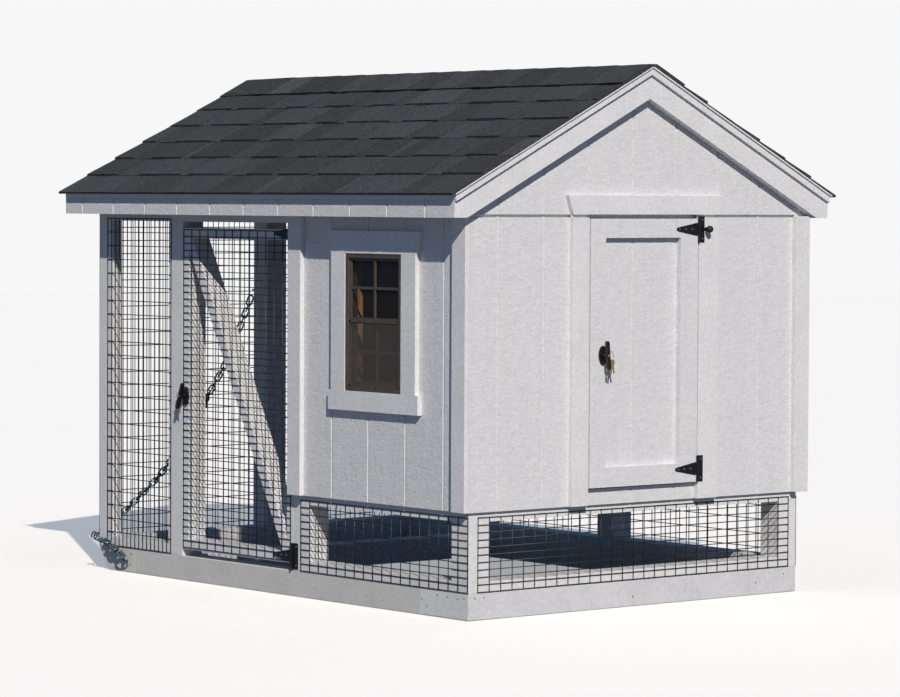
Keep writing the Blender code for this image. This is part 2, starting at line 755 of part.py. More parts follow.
def make_roof():
    """The deck with its rafters, the shingle layer with its ridge caps, and fascias with their soffits."""
    lean = math.cos(math.atan(ROOF_SLOPE))
    start = EAVE + FASCIA + GAP
    profile = [
        (start, deck_height(start)),
        (0, deck_height(0)),
        (-start, deck_height(start)),
        (-start, deck_height(start, DECK_DROP)),
        (0, deck_height(0, DECK_DROP)),
        (start, deck_height(start, DECK_DROP)),
    ]
    deck = add_object("roof_deck", outline_mesh([profile], ROOF_LEFT, ROOF_RIGHT - GAP, "X"), BARE)
    seat = WALL_TOP + GAP
    rafter_drop = RAFTER_DEPTH / lean
    knee = (RIDGE_DECK - rafter_drop - seat) / ROOF_SLOPE
    rafter = [
        (start, deck_height(start, 0.1)),
        (0, deck_height(0, 0.1)),
        (-start, deck_height(start, 0.1)),
        (-start, seat),
        (knee, seat),
        (0, deck_height(0, rafter_drop)),
        (-knee, seat),
        (start, seat),
    ]
    first = LEFT
    spacing = (FRAME_LENGTH - RAFTER) / (RAFTER_PAIRS - 1)
    for pair in range(RAFTER_PAIRS):
        x = first + pair * spacing
        join(deck, outline_mesh([rafter], x, x + RAFTER, "X"))

    edge = EAVE - SHINGLE_EAVE_REACH
    shingle_drop = SHINGLES / lean
    layer = [
        (edge, deck_height(edge, -GAP - shingle_drop)),
        (0, deck_height(0, -GAP - shingle_drop)),
        (-edge, deck_height(edge, -GAP - shingle_drop)),
        (-edge, deck_height(edge, -GAP)),
        (0, deck_height(0, -GAP)),
        (edge, deck_height(edge, -GAP)),
    ]
    low_x = ROOF_LEFT - SHINGLE_LEFT_REACH
    high_x = ROOF_RIGHT + RAKE_STRIP + SHINGLE_RAKE_REACH
    shingles = add_object("shingles", outline_mesh([layer], low_x, high_x, "X"), (0.05, 0.055, 0.065), 0.95)
    cap_drop = -GAP - shingle_drop - RIDGE_CAP / lean
    cap = [
        (-RIDGE_CAP_REACH, deck_height(RIDGE_CAP_REACH, cap_drop)),
        (0, deck_height(0, cap_drop)),
        (RIDGE_CAP_REACH, deck_height(RIDGE_CAP_REACH, cap_drop)),
        (RIDGE_CAP_REACH, deck_height(RIDGE_CAP_REACH, 0)),
        (0, deck_height(0, -GAP * 2)),
        (-RIDGE_CAP_REACH, deck_height(RIDGE_CAP_REACH, 0)),
    ]
    cap = [(y, max(z, deck_height(y, -GAP * 2))) for y, z in cap]
    join(shingles, outline_mesh([cap], low_x, high_x, "X"))

    for name, side in (("fascia_front", 1), ("fascia_back", -1)):
        corner = [
            (EAVE, SOFFIT_BOTTOM),
            (FRONT - GAP, SOFFIT_BOTTOM),
            (FRONT - GAP, SOFFIT_BOTTOM + SOFFIT),
            (EAVE + FASCIA, SOFFIT_BOTTOM + SOFFIT),
            (EAVE + FASCIA, FASCIA_TOP),
            (EAVE, FASCIA_TOP),
        ]
        corner = [(y * side, z) for y, z in corner]
        painted(name, outline_mesh([corner], ROOF_LEFT + LEFT_BARGE + GAP, WALL_FACE - GAP, "X"))


def make_partition():
    """The wall between house and run, with the pop door's opening, its guides and the pop door itself."""
    low_y = FRONT + BEAM + GAP
    opening_low = POP_OFFSET - POP_WIDTH / 2
    opening_high = POP_OFFSET + POP_WIDTH / 2
    sheet = rectangle(low_y, -low_y, FLOOR_FRAME_BOTTOM, PLATE_BOTTOM - GAP)
    opening = rectangle(opening_low, opening_high, POP_SILL, POP_SILL + POP_HEIGHT)
    wall = painted("partition", outline_mesh([sheet, opening], PARTITION, PARTITION + SIDING, "X"))

    panel_low = opening_low - POP_LAP
    panel_high = opening_high + POP_LAP
    panel_bottom = POP_SILL - POP_LAP
    panel_top = POP_SILL + POP_HEIGHT + POP_LAP
    room = POP_PANEL + 2 * POP_CLEARANCE
    guide_bottom = panel_bottom - GUIDE_WIDTH
    guide_top = panel_top + POP_LIFT
    for side, edge in ((-1, panel_low - POP_CLEARANCE), (1, panel_high + POP_CLEARANCE)):
        outer = edge + side * GUIDE_WIDTH
        guide = [
            (PARTITION + SIDING / 2, outer),
            (PARTITION + SIDING / 2, edge),
            (PARTITION - room, edge),
            (PARTITION - room, edge - side * GUIDE_LIP),
            (PARTITION - room - GUIDE_LIP, edge - side * GUIDE_LIP),
            (PARTITION - room - GUIDE_LIP, outer),
        ]
        join(wall, outline_mesh([guide], guide_bottom, guide_top, "Z"))
    sill = box_mesh(
        (PARTITION - room - GUIDE_LIP / 2, panel_low - GUIDE_WIDTH / 2, guide_bottom + GUIDE_LIP / 4),
        (PARTITION + SIDING / 4, panel_high + GUIDE_WIDTH / 2, panel_bottom - GAP),
    )
    join(wall, sill)
    painted(
        "pop_door",
        box_mesh(
            (PARTITION - POP_CLEARANCE - POP_PANEL, panel_low, panel_bottom),
            (PARTITION - POP_CLEARANCE, panel_high, panel_top),
        ),
    )


def make_nest_box():
    """A row of nest boxes on the floor against the back wall, with the roost bar on two arms above them."""
    width = NEST_COUNT * (NEST_WIDTH + NEST_BOARD) + NEST_BOARD
    low_x = PARTITION + HOUSE_LENGTH / 2 - width / 2
    low_z = FLOOR_TOP + GAP
    high_z = low_z + NEST_HEIGHT + 2 * NEST_BOARD
    back = BACK - GAP
    front = back - NEST_DEPTH
    holes = []
    for number in range(NEST_COUNT):
        start = low_x + NEST_BOARD + number * (NEST_WIDTH + NEST_BOARD)
        holes.append(rectangle(start, start + NEST_WIDTH, low_z + NEST_BOARD, high_z - NEST_BOARD))
    edge = rectangle(low_x, low_x + width, low_z, high_z)
    nest = add_object("nest_box", outline_mesh([edge, *holes], front, back, "Y"), BARE)
    inset = NEST_BOARD / 2
    rebate = 0.1
    first_x = low_x + inset
    last_x = low_x + width - inset
    join(
        nest,
        box_mesh((first_x, back - NEST_BOARD, low_z + inset), (last_x, back - rebate, high_z - inset)),
        box_mesh((first_x, front + rebate, low_z + inset), (last_x, front + NEST_BOARD, low_z + NEST_LIP)),
    )
    bar_low = ROOST_HEIGHT - ROOST
    for x in (low_x + rebate, low_x + width - NEST_BOARD + rebate):
        arm = [
            (back - PLATE, high_z - inset),
            (back - rebate, high_z - inset),
            (back - rebate, bar_low + inset),
            (front + rebate, bar_low + inset),
            (front + rebate, bar_low - inset),
            (back - PLATE, bar_low - inset),
        ]
        join(nest, outline_mesh([arm], x, x + NEST_BOARD - 2 * rebate, "X"))
    join(nest, box_mesh((low_x, front, bar_low), (low_x + width, front + ROOST, ROOST_HEIGHT)))


def hinge_parts(prefix, place, leaf_meshes):
    """A tee hinge with its pin on the local Z axis: a leaf with two knuckles and a pin, and a long strap."""
    half = HINGE_HEIGHT / 2
    third = HINGE_HEIGHT / 6
    leaf = add_object(f"{prefix}_leaf", leaf_meshes[0], BLACK, 0.45, 0.7, smooth=True)
    lower = cylinder_mesh(BARREL_RADIUS, (0, 0, -half), (0, 0, -third))
    upper = cylinder_mesh(BARREL_RADIUS, (0, 0, third), (0, 0, half))
    pin = cylinder_mesh(PIN_RADIUS, (0, 0, -half + HINGE_PLATE), (0, 0, half - HINGE_PLATE), 12)
    leaf.matrix_world = place
    join(leaf, *leaf_meshes[1:], lower, upper, pin)

    root = STRAP_ROOT / 2
    tip = STRAP_TIP / 2
    start = -BARREL_RADIUS - KNUCKLE_GAP
    arc = [math.radians(angle) for angle in range(90, 271, 30)]
    outline = [(-STRAP_LENGTH + tip + tip * math.cos(a), tip * math.sin(a)) for a in arc]
    outline = [(start, root), *outline, (start, -root)]
    plate = (BARREL_RADIUS - HINGE_PLATE, BARREL_RADIUS)
    strap = add_object(
        f"{prefix}_strap",
        outline_mesh([outline], *plate, "Y"),
        BLACK,
        0.45,
        0.7,
        smooth=True,
    )
    strap.matrix_world = place
    inner = third - KNUCKLE_GAP / 2
    neck = box_mesh((start - BARREL_RADIUS, plate[0], -inner), (-KNUCKLE_GAP, plate[1], inner))
    knuckle = cylinder_mesh(BARREL_RADIUS, (0, 0, -inner), (0, 0, inner))
    join(strap, neck, knuckle)
    cut(strap, cylinder_mesh(PIN_RADIUS + PIN_CLEARANCE, (0, 0, -1), (0, 0, 1), 12))


def leaf_plates(tab, plate):
    """The boxes of a leaf, from its (low, high) plan corners: a tab at each knuckle and the full plate."""
    half = HINGE_HEIGHT / 2
    third = HINGE_HEIGHT / 6
    spans = ((tab, -half, -third), (tab, third, half))
    boxes = [box_mesh((*plate[0], -half), (*plate[1], half))]
    for (low, high), bottom, top in spans:
        boxes.append(box_mesh((*low, bottom), (*high, top)))
    return boxes


def make_hinges():
    back = BARREL_RADIUS
    front = BARREL_RADIUS - HINGE_PLATE
    clear = BARREL_RADIUS + KNUCKLE_GAP
    quarter_turn = Matrix.Rotation(math.radians(90), 4, "Z")
    door_heights = {
        "top": DOOR_TOP - DOOR_HINGE_INSET,
        "bottom": DOOR_BOTTOM + DOOR_HINGE_INSET + DOOR_HINGE_RISE,
    }
    for where, z in door_heights.items():
        place = Matrix.Translation(Vector((*DOOR_AXIS, z)) * INCH) @ quarter_turn
        tab = ((KNUCKLE_GAP, front), (clear + KNUCKLE_GAP, back))
        plate = ((clear, front), (HINGE_LEAF, back))
        hinge_parts(f"hinge_door_{where}", place, leaf_plates(tab, plate))

    # The upper leaf of the run door lies on the edge of the corner board, the lower one on the post's face
    tab = ((front, -clear - KNUCKLE_GAP), (back, -KNUCKLE_GAP))
    plate = ((front, -HINGE_LEAF / 2), (back, -clear))
    top = Matrix.Translation(Vector((*RUN_AXIS, RUN_DOOR_TOP - RUN_TOP_HINGE_INSET)) * INCH)
    hinge_parts("hinge_run_top", top, leaf_plates(tab, plate))

    post_face = FRONT - GAP - RUN_AXIS[1]
    web = ((KNUCKLE_GAP, KNUCKLE_GAP), (BARREL_RADIUS - KNUCKLE_GAP, post_face))
    leaf_end = PARTITION - RUN_AXIS[0] + HINGE_LEAF
    on_post = ((KNUCKLE_GAP * 2, post_face - HINGE_PLATE), (leaf_end, post_face))
    low = Matrix.Translation(Vector((*RUN_AXIS, RUN_DOOR_BOTTOM + RUN_HINGE_INSET)) * INCH)
    hinge_parts("hinge_run_bottom", low, leaf_plates(web, on_post))


def handle_parts(prefix, place, reach, inset, tilt):
    """A turning handle about the local Z axis, which points out of the door: rose, bar, stem and cam.

    The cam lies reach behind the door's face, and it is long enough to pass the door's edge, inset away.
    """
    rose = add_object(
        f"{prefix}_rose",
        outline_mesh([oval(ROSE_WIDTH, ROSE_HEIGHT)], GAP, ROSE, "Z"),
        BLACK,
        0.45,
        0.7,
        smooth=True,
    )
    rose.matrix_world = place
    cut(rose, cylinder_mesh(STEM_RADIUS + SPINDLE_CLEARANCE, (0, 0, -1), (0, 0, 1), 24))

    half = HANDLE_LENGTH / 2
    thick = HANDLE_HEIGHT / 2
    bar = [
        (-thick, -half + thick),
        (-thick / 2, -half),
        (thick / 2, -half),
        (thick, -half + thick),
        (thick, half - thick),
        (thick / 2, half),
        (-thick / 2, half),
        (-thick, half - thick),
    ]
    handle = add_object(
        f"{prefix}_handle",
        outline_mesh([bar], HANDLE_PROUD - HANDLE_DEPTH, HANDLE_PROUD, "Z"),
        BLACK,
        0.4,
        0.7,
        smooth=True,
    )
    handle.matrix_world = place @ Matrix.Rotation(math.radians(tilt), 4, "Z")
    cam_top = -reach - CAM_CLEARANCE
    cam_low = (-CAM_WIDTH / 2, -inset - CAM_REACH, cam_top - CAM)
    join(
        handle,
        cylinder_mesh(STEM_RADIUS, (0, 0, GAP), (0, 0, HANDLE_PROUD - HANDLE_DEPTH / 2), 20),
        cylinder_mesh(SPINDLE_RADIUS, (0, 0, cam_top - CAM / 2), (0, 0, ROSE), 16),
        box_mesh(cam_low, (CAM_WIDTH / 2, CAM_WIDTH / 2, cam_top)),
    )


def bore(target_name, place, depth):
    """A hole through a door for a handle's spindle, in line with the handle."""
    target = bpy.data.objects[target_name]
    mesh = cylinder_mesh(SPINDLE_RADIUS + SPINDLE_CLEARANCE, (0, 0, -depth - 1), (0, 0, 1), 16)
    mesh.transform(place)
    cut(target, mesh)


def make_handles():
    """A turning handle on each door. Its cam hangs down at rest, behind the door and inside its outline."""
    outward_right = Matrix(((0, 0, 1), (1, 0, 0), (0, 1, 0))).to_4x4()
    door_place = Vector((TRIM_FACE, DOOR_LOW + DOOR_HANDLE_INSET, DOOR_HANDLE_HEIGHT)) * INCH
    door_place = Matrix.Translation(door_place) @ outward_right
    thickness = TRIM_FACE - RIGHT
    handle_parts("door_handle", door_place, thickness, DOOR_HANDLE_INSET, DOOR_HANDLE_TILT)
    bore("door_right", door_place, thickness)

    outward_front = Matrix(((1, 0, 0), (0, 0, -1), (0, 1, 0))).to_4x4()
    run_place = Vector((RUN_DOOR_LEFT + RUN_HANDLE_INSET, RUN_DOOR_FACE, RUN_HANDLE_HEIGHT)) * INCH
    run_place = Matrix.Translation(run_place) @ outward_front
    thickness = FRONT + RUN_DOOR_DEPTH - RUN_DOOR_FACE
    behind_post = thickness + BEAM - RUN_DOOR_DEPTH
    handle_parts("run_handle", run_place, behind_post, RUN_HANDLE_INSET, RUN_HANDLE_TILT)
    bore("run_door", run_place, thickness)
    bore("mesh_run_door", run_place, thickness)


def make_bumper():
    """A round stop on the casing that the house door comes to rest against when it is wide open."""
    y = DOOR_HIGH + BUMPER_INSET
    z = DOOR_TOP - DOOR_HINGE_INSET
    centre = TRIM_FACE + BUMPER_PROUD
    ball = bmesh.new()
    bmesh.ops.create_uvsphere(ball, u_segments=16, v_segments=10, radius=BUMPER_RADIUS * INCH)
    bmesh.ops.translate(ball, vec=Vector((centre, y, z)) * INCH, verts=ball.verts)
    mesh = bpy.data.meshes.new("ball")
    ball.to_mesh(mesh)
    ball.free()
    stem = cylinder_mesh(BUMPER_STEM, (TRIM_FACE - 0.1, y, z), (centre, y, z), 16)
    join(bpy.data.objects["door_casing"], stem, mesh)


def make_chain():
    """The tow chain: it hangs from the centre post of the run end and lies over the front skid's end."""
    outside = LEFT - GAP - MESH - GAP - CHAIN_RADIUS
    front = FRONT - GAP - MESH - GAP - CHAIN_RADIUS
    route = [
        Vector((outside, -1.6, 40.8)),
        Vector((outside, -3.5, 36.6)),
        Vector((outside, -6.9, 29.8)),
        Vector((outside, -13.2, 20.8)),
        Vector((outside, -17.6, 14.8)),
        Vector((outside, -23.4, 9.8)),
        Vector((outside, FRONT + 1.5, 6.0)),
        Vector((outside + 0.1, front - 0.1, 4.9)),
        Vector((LEFT + 2.1, front - 0.1, 4.2)),
        Vector((LEFT + 4.8, front, 3.1)),
        Vector((LEFT + 7.4, front, 1.95)),
    ]
    steps = 4
    points = []
    for index in range(len(route) - 1):
        before = route[max(index - 1, 0)]
        start = route[index]
        end = route[index + 1]
        after = route[min(index + 2, len(route) - 1)]
        for step in range(steps):
            t = step / steps
            points.append(smooth_point(before, start, end, after, t))
    points.append(route[-1])
    curve = bpy.data.curves.new("chain", "CURVE")
    curve.dimensions = "3D"
    curve.bevel_depth = CHAIN_RADIUS * INCH
    curve.bevel_resolution = 2
    curve.use_fill_caps = True
    spline = curve.splines.new("POLY")
    spline.points.add(len(points) - 1)
    for point, place in zip(spline.points, points):
        point.co = (*(place * INCH), 1)
    curve.materials.append(finish_of("chain", (0.45, 0.50, 0.55), 0.35, 1.0))
    obj = bpy.data.objects.new("chain", curve)
    PARTS.objects.link(obj)


def smooth_point(before, start, end, after, t):
    """A point on the smooth curve through four points in turn, at t between the middle two."""
    return 0.5 * (
        2 * start
        + (end - before) * t
        + (2 * before - 5 * start + 4 * end - after) * t**2
        + (3 * start - before - 3 * end + after) * t**3
    )


def main():
    make_base()
    make_sill_plates()
    make_posts()
    make_top_plates()
    make_floor()
    make_walls()
    make_trim()
    make_window()
    make_door()
    make_run_door()
    make_wire_sheets()
    make_barge()
    make_roof()
    make_partition()
    make_nest_box()
    make_hinges()
    make_handles()
    make_bumper()
    make_chain()


clear_scene()
PARTS = collection("chicken_coop")
CUTTERS = collection("cutters")
CUTTERS.hide_render = True
main()
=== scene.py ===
"""The looks of a small chicken coop on skids: a painted house with a wire run under one shingled roof.

+X is the house end with its door, -Y is the front with the window and the run door, +Z is up.
Sizes are in inches, and the tools that build the meshes turn them to metres. Other units are named where
they occur.
"""

import json
import math
import random

import bmesh
import bpy
from mathutils import Matrix, Vector


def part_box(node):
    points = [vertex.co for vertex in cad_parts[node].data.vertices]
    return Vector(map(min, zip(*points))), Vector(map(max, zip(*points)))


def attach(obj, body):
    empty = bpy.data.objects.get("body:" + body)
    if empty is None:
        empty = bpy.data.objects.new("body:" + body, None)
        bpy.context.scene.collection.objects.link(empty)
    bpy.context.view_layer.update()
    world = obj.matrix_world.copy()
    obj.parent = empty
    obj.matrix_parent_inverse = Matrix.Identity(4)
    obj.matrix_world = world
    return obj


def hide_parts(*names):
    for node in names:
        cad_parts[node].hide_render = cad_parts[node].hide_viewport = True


INCH = 0.0254
MM = 0.001

# Camera: where it stands, in metres, which way it looks, in degrees, its lens, in mm, and its far end
CAMERA_PLACE = (10.274, -8.478, 1.409)
CAMERA_TURN = 50.27
CAMERA_DIP = -2.38
CAMERA_ROLL = 0.28
CAMERA_LENS = 144.1
CAMERA_FAR_END = 200

# Light: one sun-like lamp from the right of the front, and a cool, even fill
SUN_TURN = 61.0
SUN_HEIGHT = 38.0
SUN_STRENGTH = 3.85
SUN_SIZE = 0.7
SUN_COLOUR = "#fff6ea"
FILL_STRENGTH = 0.285
FILL_COLOUR = "#83b4ef"
BACKDROP_COLOUR = "#f7f7f8"

# The floor looks pale but throws little light back up, as grass round the coop would. Sizes in metres.
FLOOR_BOUNCE = "#717274"
FLOOR_TONES = ("#dddad5", "#dedbd6")
FLOOR_GLOW = 0.35
FLOOR_RADIUS = 40
FLOOR_DROP = 0.002

# CAD vertices this close, in millimetres, are one, and faces within this angle, in degrees, are one flat face
WELD = 0.01
FLAT_ANGLE = 1

# Rounded edges, in millimetres; an edge is sharp past this angle, in degrees
BOARD_EDGE = 1.0
TIMBER_EDGE = 1.5
ALUMINIUM_EDGE = 0.5
HANDLE_EDGE = 1.6
ROSE_EDGE = 1.5
SHARP_ANGLE = 25

# How far a cutting box reaches past the piece that it cuts
PAST = 1

# Siding: its grooves, one groove's place on each side, how far they keep from a sheet's ends, its thickness,
# and a height above all walls
GROOVE_SPACING = 8.0
GROOVE_WIDTH = 0.375
GROOVE_DEPTH = 0.1
GROOVES_RIGHT_FROM = -1.905
GROOVES_FRONT_FROM = 14.64
GROOVES_FASCIA_FROM = 39.12
GROOVE_KEEP = 1
SIDING = 0.4375
ABOVE_WALLS = 90

# Boards: the trim's thickness, the seam sawn into the door casing, the blocks (returns) that close the
# seam's ends, and the back corner boards
TRIM = 0.75
SEAM_DEPTH = 0.45
RETURN_LENGTH = 1.2
RETURN_BELOW = 0.35
RETURN_ABOVE = 0.3
RETURN_KEEP = 0.1
RETURN_SUNK = (0.02, 0.06)
BACK_BOARD = 3.05
BACK_BOARD_LIFT = 0.01

# The flat frame round the house door's grooved panel: its free and its hinge side, its bottom and its top
DOOR_STILES = (2.8, 3.2)
DOOR_RAILS = (2.65, 2.6)

# Roof: slope (rise over run), courses, and the sizes of shingles. A butt is the thick lower end of a shingle.
ROOF_SLOPE = 0.5
ROOF_TILT = math.atan(ROOF_SLOPE)
COURSES = 7
UNDERLAY = 0.14
SHINGLE_BUTT = 0.28
TAB_BUTT = 0.46
EAVE_TAB_BUTT = 0.32
TAB_TAIL = 0.06
SHINGLE_OVERLAP = 0.5
SHINGLE_INSET = 0.24
SHINGLE_TRIM = 0.1
STRIP_LENGTHS = (5, 13)
SHORTEST_STRIP = 3
FIRST_TAB = (-4, 2)
TAB_WIDTHS = (4, 11)
TAB_GAPS = (1.5, 6)
TAB_STAGGER = 0.12
NARROWEST_TAB = 0.5
FELT_INSET = 0.1
FELT_LIFT = 0.01
FELT_SHORT = (0.03, 0.02)

# Ridge caps: length, how much of each shows, its reach down a slope, and its heights over the underlay
CAP_LENGTH = 12.0
CAP_EXPOSURE = 5.6
CAP_REACH = 6.3
CAP_HEIGHTS = (0.22, 0.4)
CAP_BEND = (1.2, 0.5)
CAP_FOOT = 0.02
SHORTEST_CAP = 1

# Drip edge: its lip over the boards, its drop below the deck, its tuck under it, and its face at the eaves
DRIP_LIP = 0.24
DRIP_DROP = 0.2
DRIP_TUCK = 0.3
DRIP_FROM = 0.6
DRIP_SUNK = 0.03
EAVE_METAL_FROM = 0.55
EAVE_METAL_TO = 2.0
EAVE_METAL_SUNK = (0.1, 0.04)
EAVE_FACE_BELOW = 0.9
EAVE_FACE_ABOVE = 0.1
EAVE_FACE_OUT = (0.04, 0.01)

# Skids: joints along the front one and the right one, the paint on their corners, and the screws' places,
# which are how far from the right end or how far along it, and how high
FRONT_JOINTS = (-33.3, 33.3, 36.8)
RIGHT_JOINTS = (21.2,)
JOINT_WIDTH = 0.09
JOINT_DEPTH = 0.1
CORNER_PAINT = 0.015
PAINT_KEEP = 0.08
PAINT_SHORT = 0.01
FRONT_SCREWS = (
    (-6.4, 2.9), (-4.3, 2.8), (-2.2, 2.7), (-0.9, 2.9),
    (-9.6, 2.1), (-8.6, 1.25), (-77.9, 1.1), (-77.6, 2.7),
)
RIGHT_SCREWS = ((22.5, 1.7), (-1.0, 1.3), (-27.6, 2.9), (-29.2, 2.9), (28.0, 2.6))
SKID_SCREW = 0.14

# Hinges: thickness, and the places of their screws along the strap and up the leaf
HINGE_PLATE = 0.09
HINGE_SCREW = 0.17
STRAP_SCREWS = (0.55, 1.7, 2.9)
LEAF_SCREWS = (-1.3, 1.3)
LEAF_INSET = 0.4
SCREW_SIDES = 12
SCREW_RINGS = 3

# A screw head's dome, and its dimple's radius and height, as parts of the head's radius
SCREW_DOME = 0.35
SCREW_DIMPLE = (0.3, 0.12)

# Locks and keys: sizes of the lock and its slit, the ring and where it hangs, and the keys, whose blade is an
# outline of places across and down from the ring
LOCK_HOLE = 0.2
LOCK_RADIUS = 0.185
LOCK_HOLE_DEPTH = 0.09
LOCK_DEPTH = 0.12
LOCK_SUNK = 0.04
ROUND_SIDES = 20
SLIT_WIDTH = 0.03
SLIT_HEIGHT = 0.12
RING_RADIUS = 0.68
RING_WIRE = 0.04
RING_OUT = 0.6
RING_DROP = 0.12
RING_ASIDE = 0.6
KEY_DROP = 0.45
KEY_ASIDE = 0.4125
KEY_TILTS = (-14, 6)
KEY_APART = 0.06
KEY_HALF = 0.04
BOW_WIDTH = 0.42
BOW_LENGTH = 0.45
BOW_SIDES = 16
BLADE = (
    (0.13, 0.9), (0.13, 1.2), (0.06, 1.3), (0.13, 1.4), (0.05, 1.55),
    (0.12, 1.7), (0.0, 2.0), (-0.13, 1.85), (-0.13, 0.9),
)

# Chain: its links, the gap to what it hangs on, and its bolts, placed along the skid or the left end, and
# by height
CHAIN_RADIUS = 0.4
CHAIN_GAP = 0.012
LINK_PITCH = 1.1
LINK_LENGTH = 1.6
LINK_WIDTH = 0.8
LINK_WIRE = 0.13
LOOP_SIDES = 6
ROUTE_STEPS = 24
SKID_BOLT = (4.8, 3.1)
SKID_BOLT_RADIUS = 0.3
SKID_BOLT_REACH = 1.1
SKID_BOLT_START = 0.2
WASHER_RADIUS = 0.55
WASHER_FROM = 0.02
WASHER_REACH = 0.1
POST_BOLT = (-1.5, 41.3)
POST_BOLT_RADIUS = 0.14
POST_BOLT_START = 0.5
POST_BOLT_SHORT = 0.1
BOLT_SIDES = 6
ROD_SIDES = 10

# Welded wire: its radius and the two sizes of its openings
WIRE = 0.07
WIRE_SIDES = 6
NARROW_GAP = 1
WIDE_GAP = 2

# Window: the screen and its rim, in front of the lower sash, and the studs and the sill inside the wall
SCREEN_BACK = 0.2
SCREEN_THICK = 0.02
SCREEN_INSET = 0.85
SCREEN_BELOW = 0.4
RIM_INSET = 0.6
RIM_WIDTH = 0.3
RIM_FRONT = 0.06
RIM_BACK = 0.08
STUD_WIDTH = 1.5
STUD_DEPTH = 2.2
STUD_GAP = 0.25
STUD_KEEP = 0.02
SILL_DROP = 0.3
SILL_REACH = 0.24

random_source = random.Random(7)


# ---------------------------------------------------------------- materials

def linear(colour):
    """An sRGB hex colour as linear red, green, blue and alpha."""
    parts = [int(colour[i:i + 2], 16) / 255 for i in (1, 3, 5)]
    return (*[c / 12.92 if c <= 0.04045 else ((c + 0.055) / 1.055) ** 2.4 for c in parts], 1.0)


def add_node(tree, kind, inputs=None, stops=None, **settings):
    """Adds a node.

    inputs are values, or sockets to link, by the input's name or number; stops are a ramp's colours.
    """
    made = tree.nodes.new(kind)
    for name, value in settings.items():
        setattr(made, name, value)
    for key, value in (inputs or {}).items():
        if isinstance(value, bpy.types.NodeSocket):
            tree.links.new(value, made.inputs[key])
        else:
            made.inputs[key].default_value = value
    if stops:
        ramp = made.color_ramp.elements
        while len(ramp) < len(stops):
            ramp.new(0.5)
        for element, (place, colour) in zip(ramp, stops):
            element.position = place
            element.color = linear(colour)
    return made


def new_material(name, shader):
    """A material with a Principled BSDF of these constant values; gives it, its tree and the BSDF."""
    material = bpy.data.materials.new(name)
    material.use_nodes = True
    tree = material.node_tree
    tree.nodes.clear()
    surface = add_node(tree, "ShaderNodeBsdfPrincipled", shader)
    add_node(tree, "ShaderNodeOutputMaterial", {"Surface": surface.outputs[0]})
    return material, tree, surface


def finish_surface(tree, surface, colour, height, distance):
    """Gives a surface its colour, and a bump from a height pattern that is distance high, in millimetres."""
    bump = add_node(tree, "ShaderNodeBump", {"Height": height, "Distance": distance * MM})
    tree.links.new(colour, surface.inputs["Base Color"])
    tree.links.new(bump.outputs[0], surface.inputs["Normal"])


def stretched(tree, size):
    """Object coordinates divided by a pattern's size in millimetres along x, y and z."""
    place = add_node(tree, "ShaderNodeTexCoord")
    scale = [1 / (s * MM) for s in size]
    return add_node(tree, "ShaderNodeMapping", {"Vector": place.outputs["Object"], "Scale": scale}).outputs[0]


# Painted shade in the hollows of painted wood: a colour to multiply by where the marks of its bump sink
PAINT_HOLLOW_SHADE = [(0.36, "#cdcfd4"), (0.6, "#ffffff")]


def painted_wood(name, grain, colours, relief):
    """Fir boards under two coats of acrylic paint: satin, nearly white, with the grain just showing through.

    grain is the size in millimetres of one streak along x, y and z. Brush marks are 14 mm and blotches 160.
    """
    material, tree, surface = new_material(name, {"Roughness": 0.55, "Specular IOR Level": 0.35})
    streaks = add_node(
        tree,
        "ShaderNodeTexNoise",
        {"Vector": stretched(tree, grain), "Scale": 1.0, "Detail": 5.0, "Roughness": 0.65, "Distortion": 0.3},
    )
    marks = add_node(
        tree,
        "ShaderNodeTexNoise",
        {"Vector": stretched(tree, (14, 14, 14)), "Scale": 1.0, "Detail": 5.0, "Roughness": 0.65},
    )
    blotches = add_node(
        tree,
        "ShaderNodeTexNoise",
        {"Vector": stretched(tree, (160, 160, 160)), "Scale": 1.0, "Detail": 3.0},
    )
    both = {0: streaks.outputs["Fac"], 1: marks.outputs["Fac"]}
    height = add_node(tree, "ShaderNodeMath", both, operation="ADD")
    paint = [(0.3, colours[0]), (0.7, colours[1])]
    tint = add_node(tree, "ShaderNodeValToRGB", {"Fac": blotches.outputs["Fac"]}, stops=paint)
    # Painted shade: the brush marks' hollows, where the bump sinks, are darkened
    hollow_shade = add_node(tree, "ShaderNodeValToRGB", {"Fac": marks.outputs["Fac"]}, stops=PAINT_HOLLOW_SHADE)
    mix = {0: 0.3, 1: tint.outputs[0], 2: hollow_shade.outputs[0]}
    shade = add_node(tree, "ShaderNodeMixRGB", mix, blend_type="MULTIPLY")
    finish_surface(tree, surface, shade.outputs[0], height.outputs[0], relief)
    return material


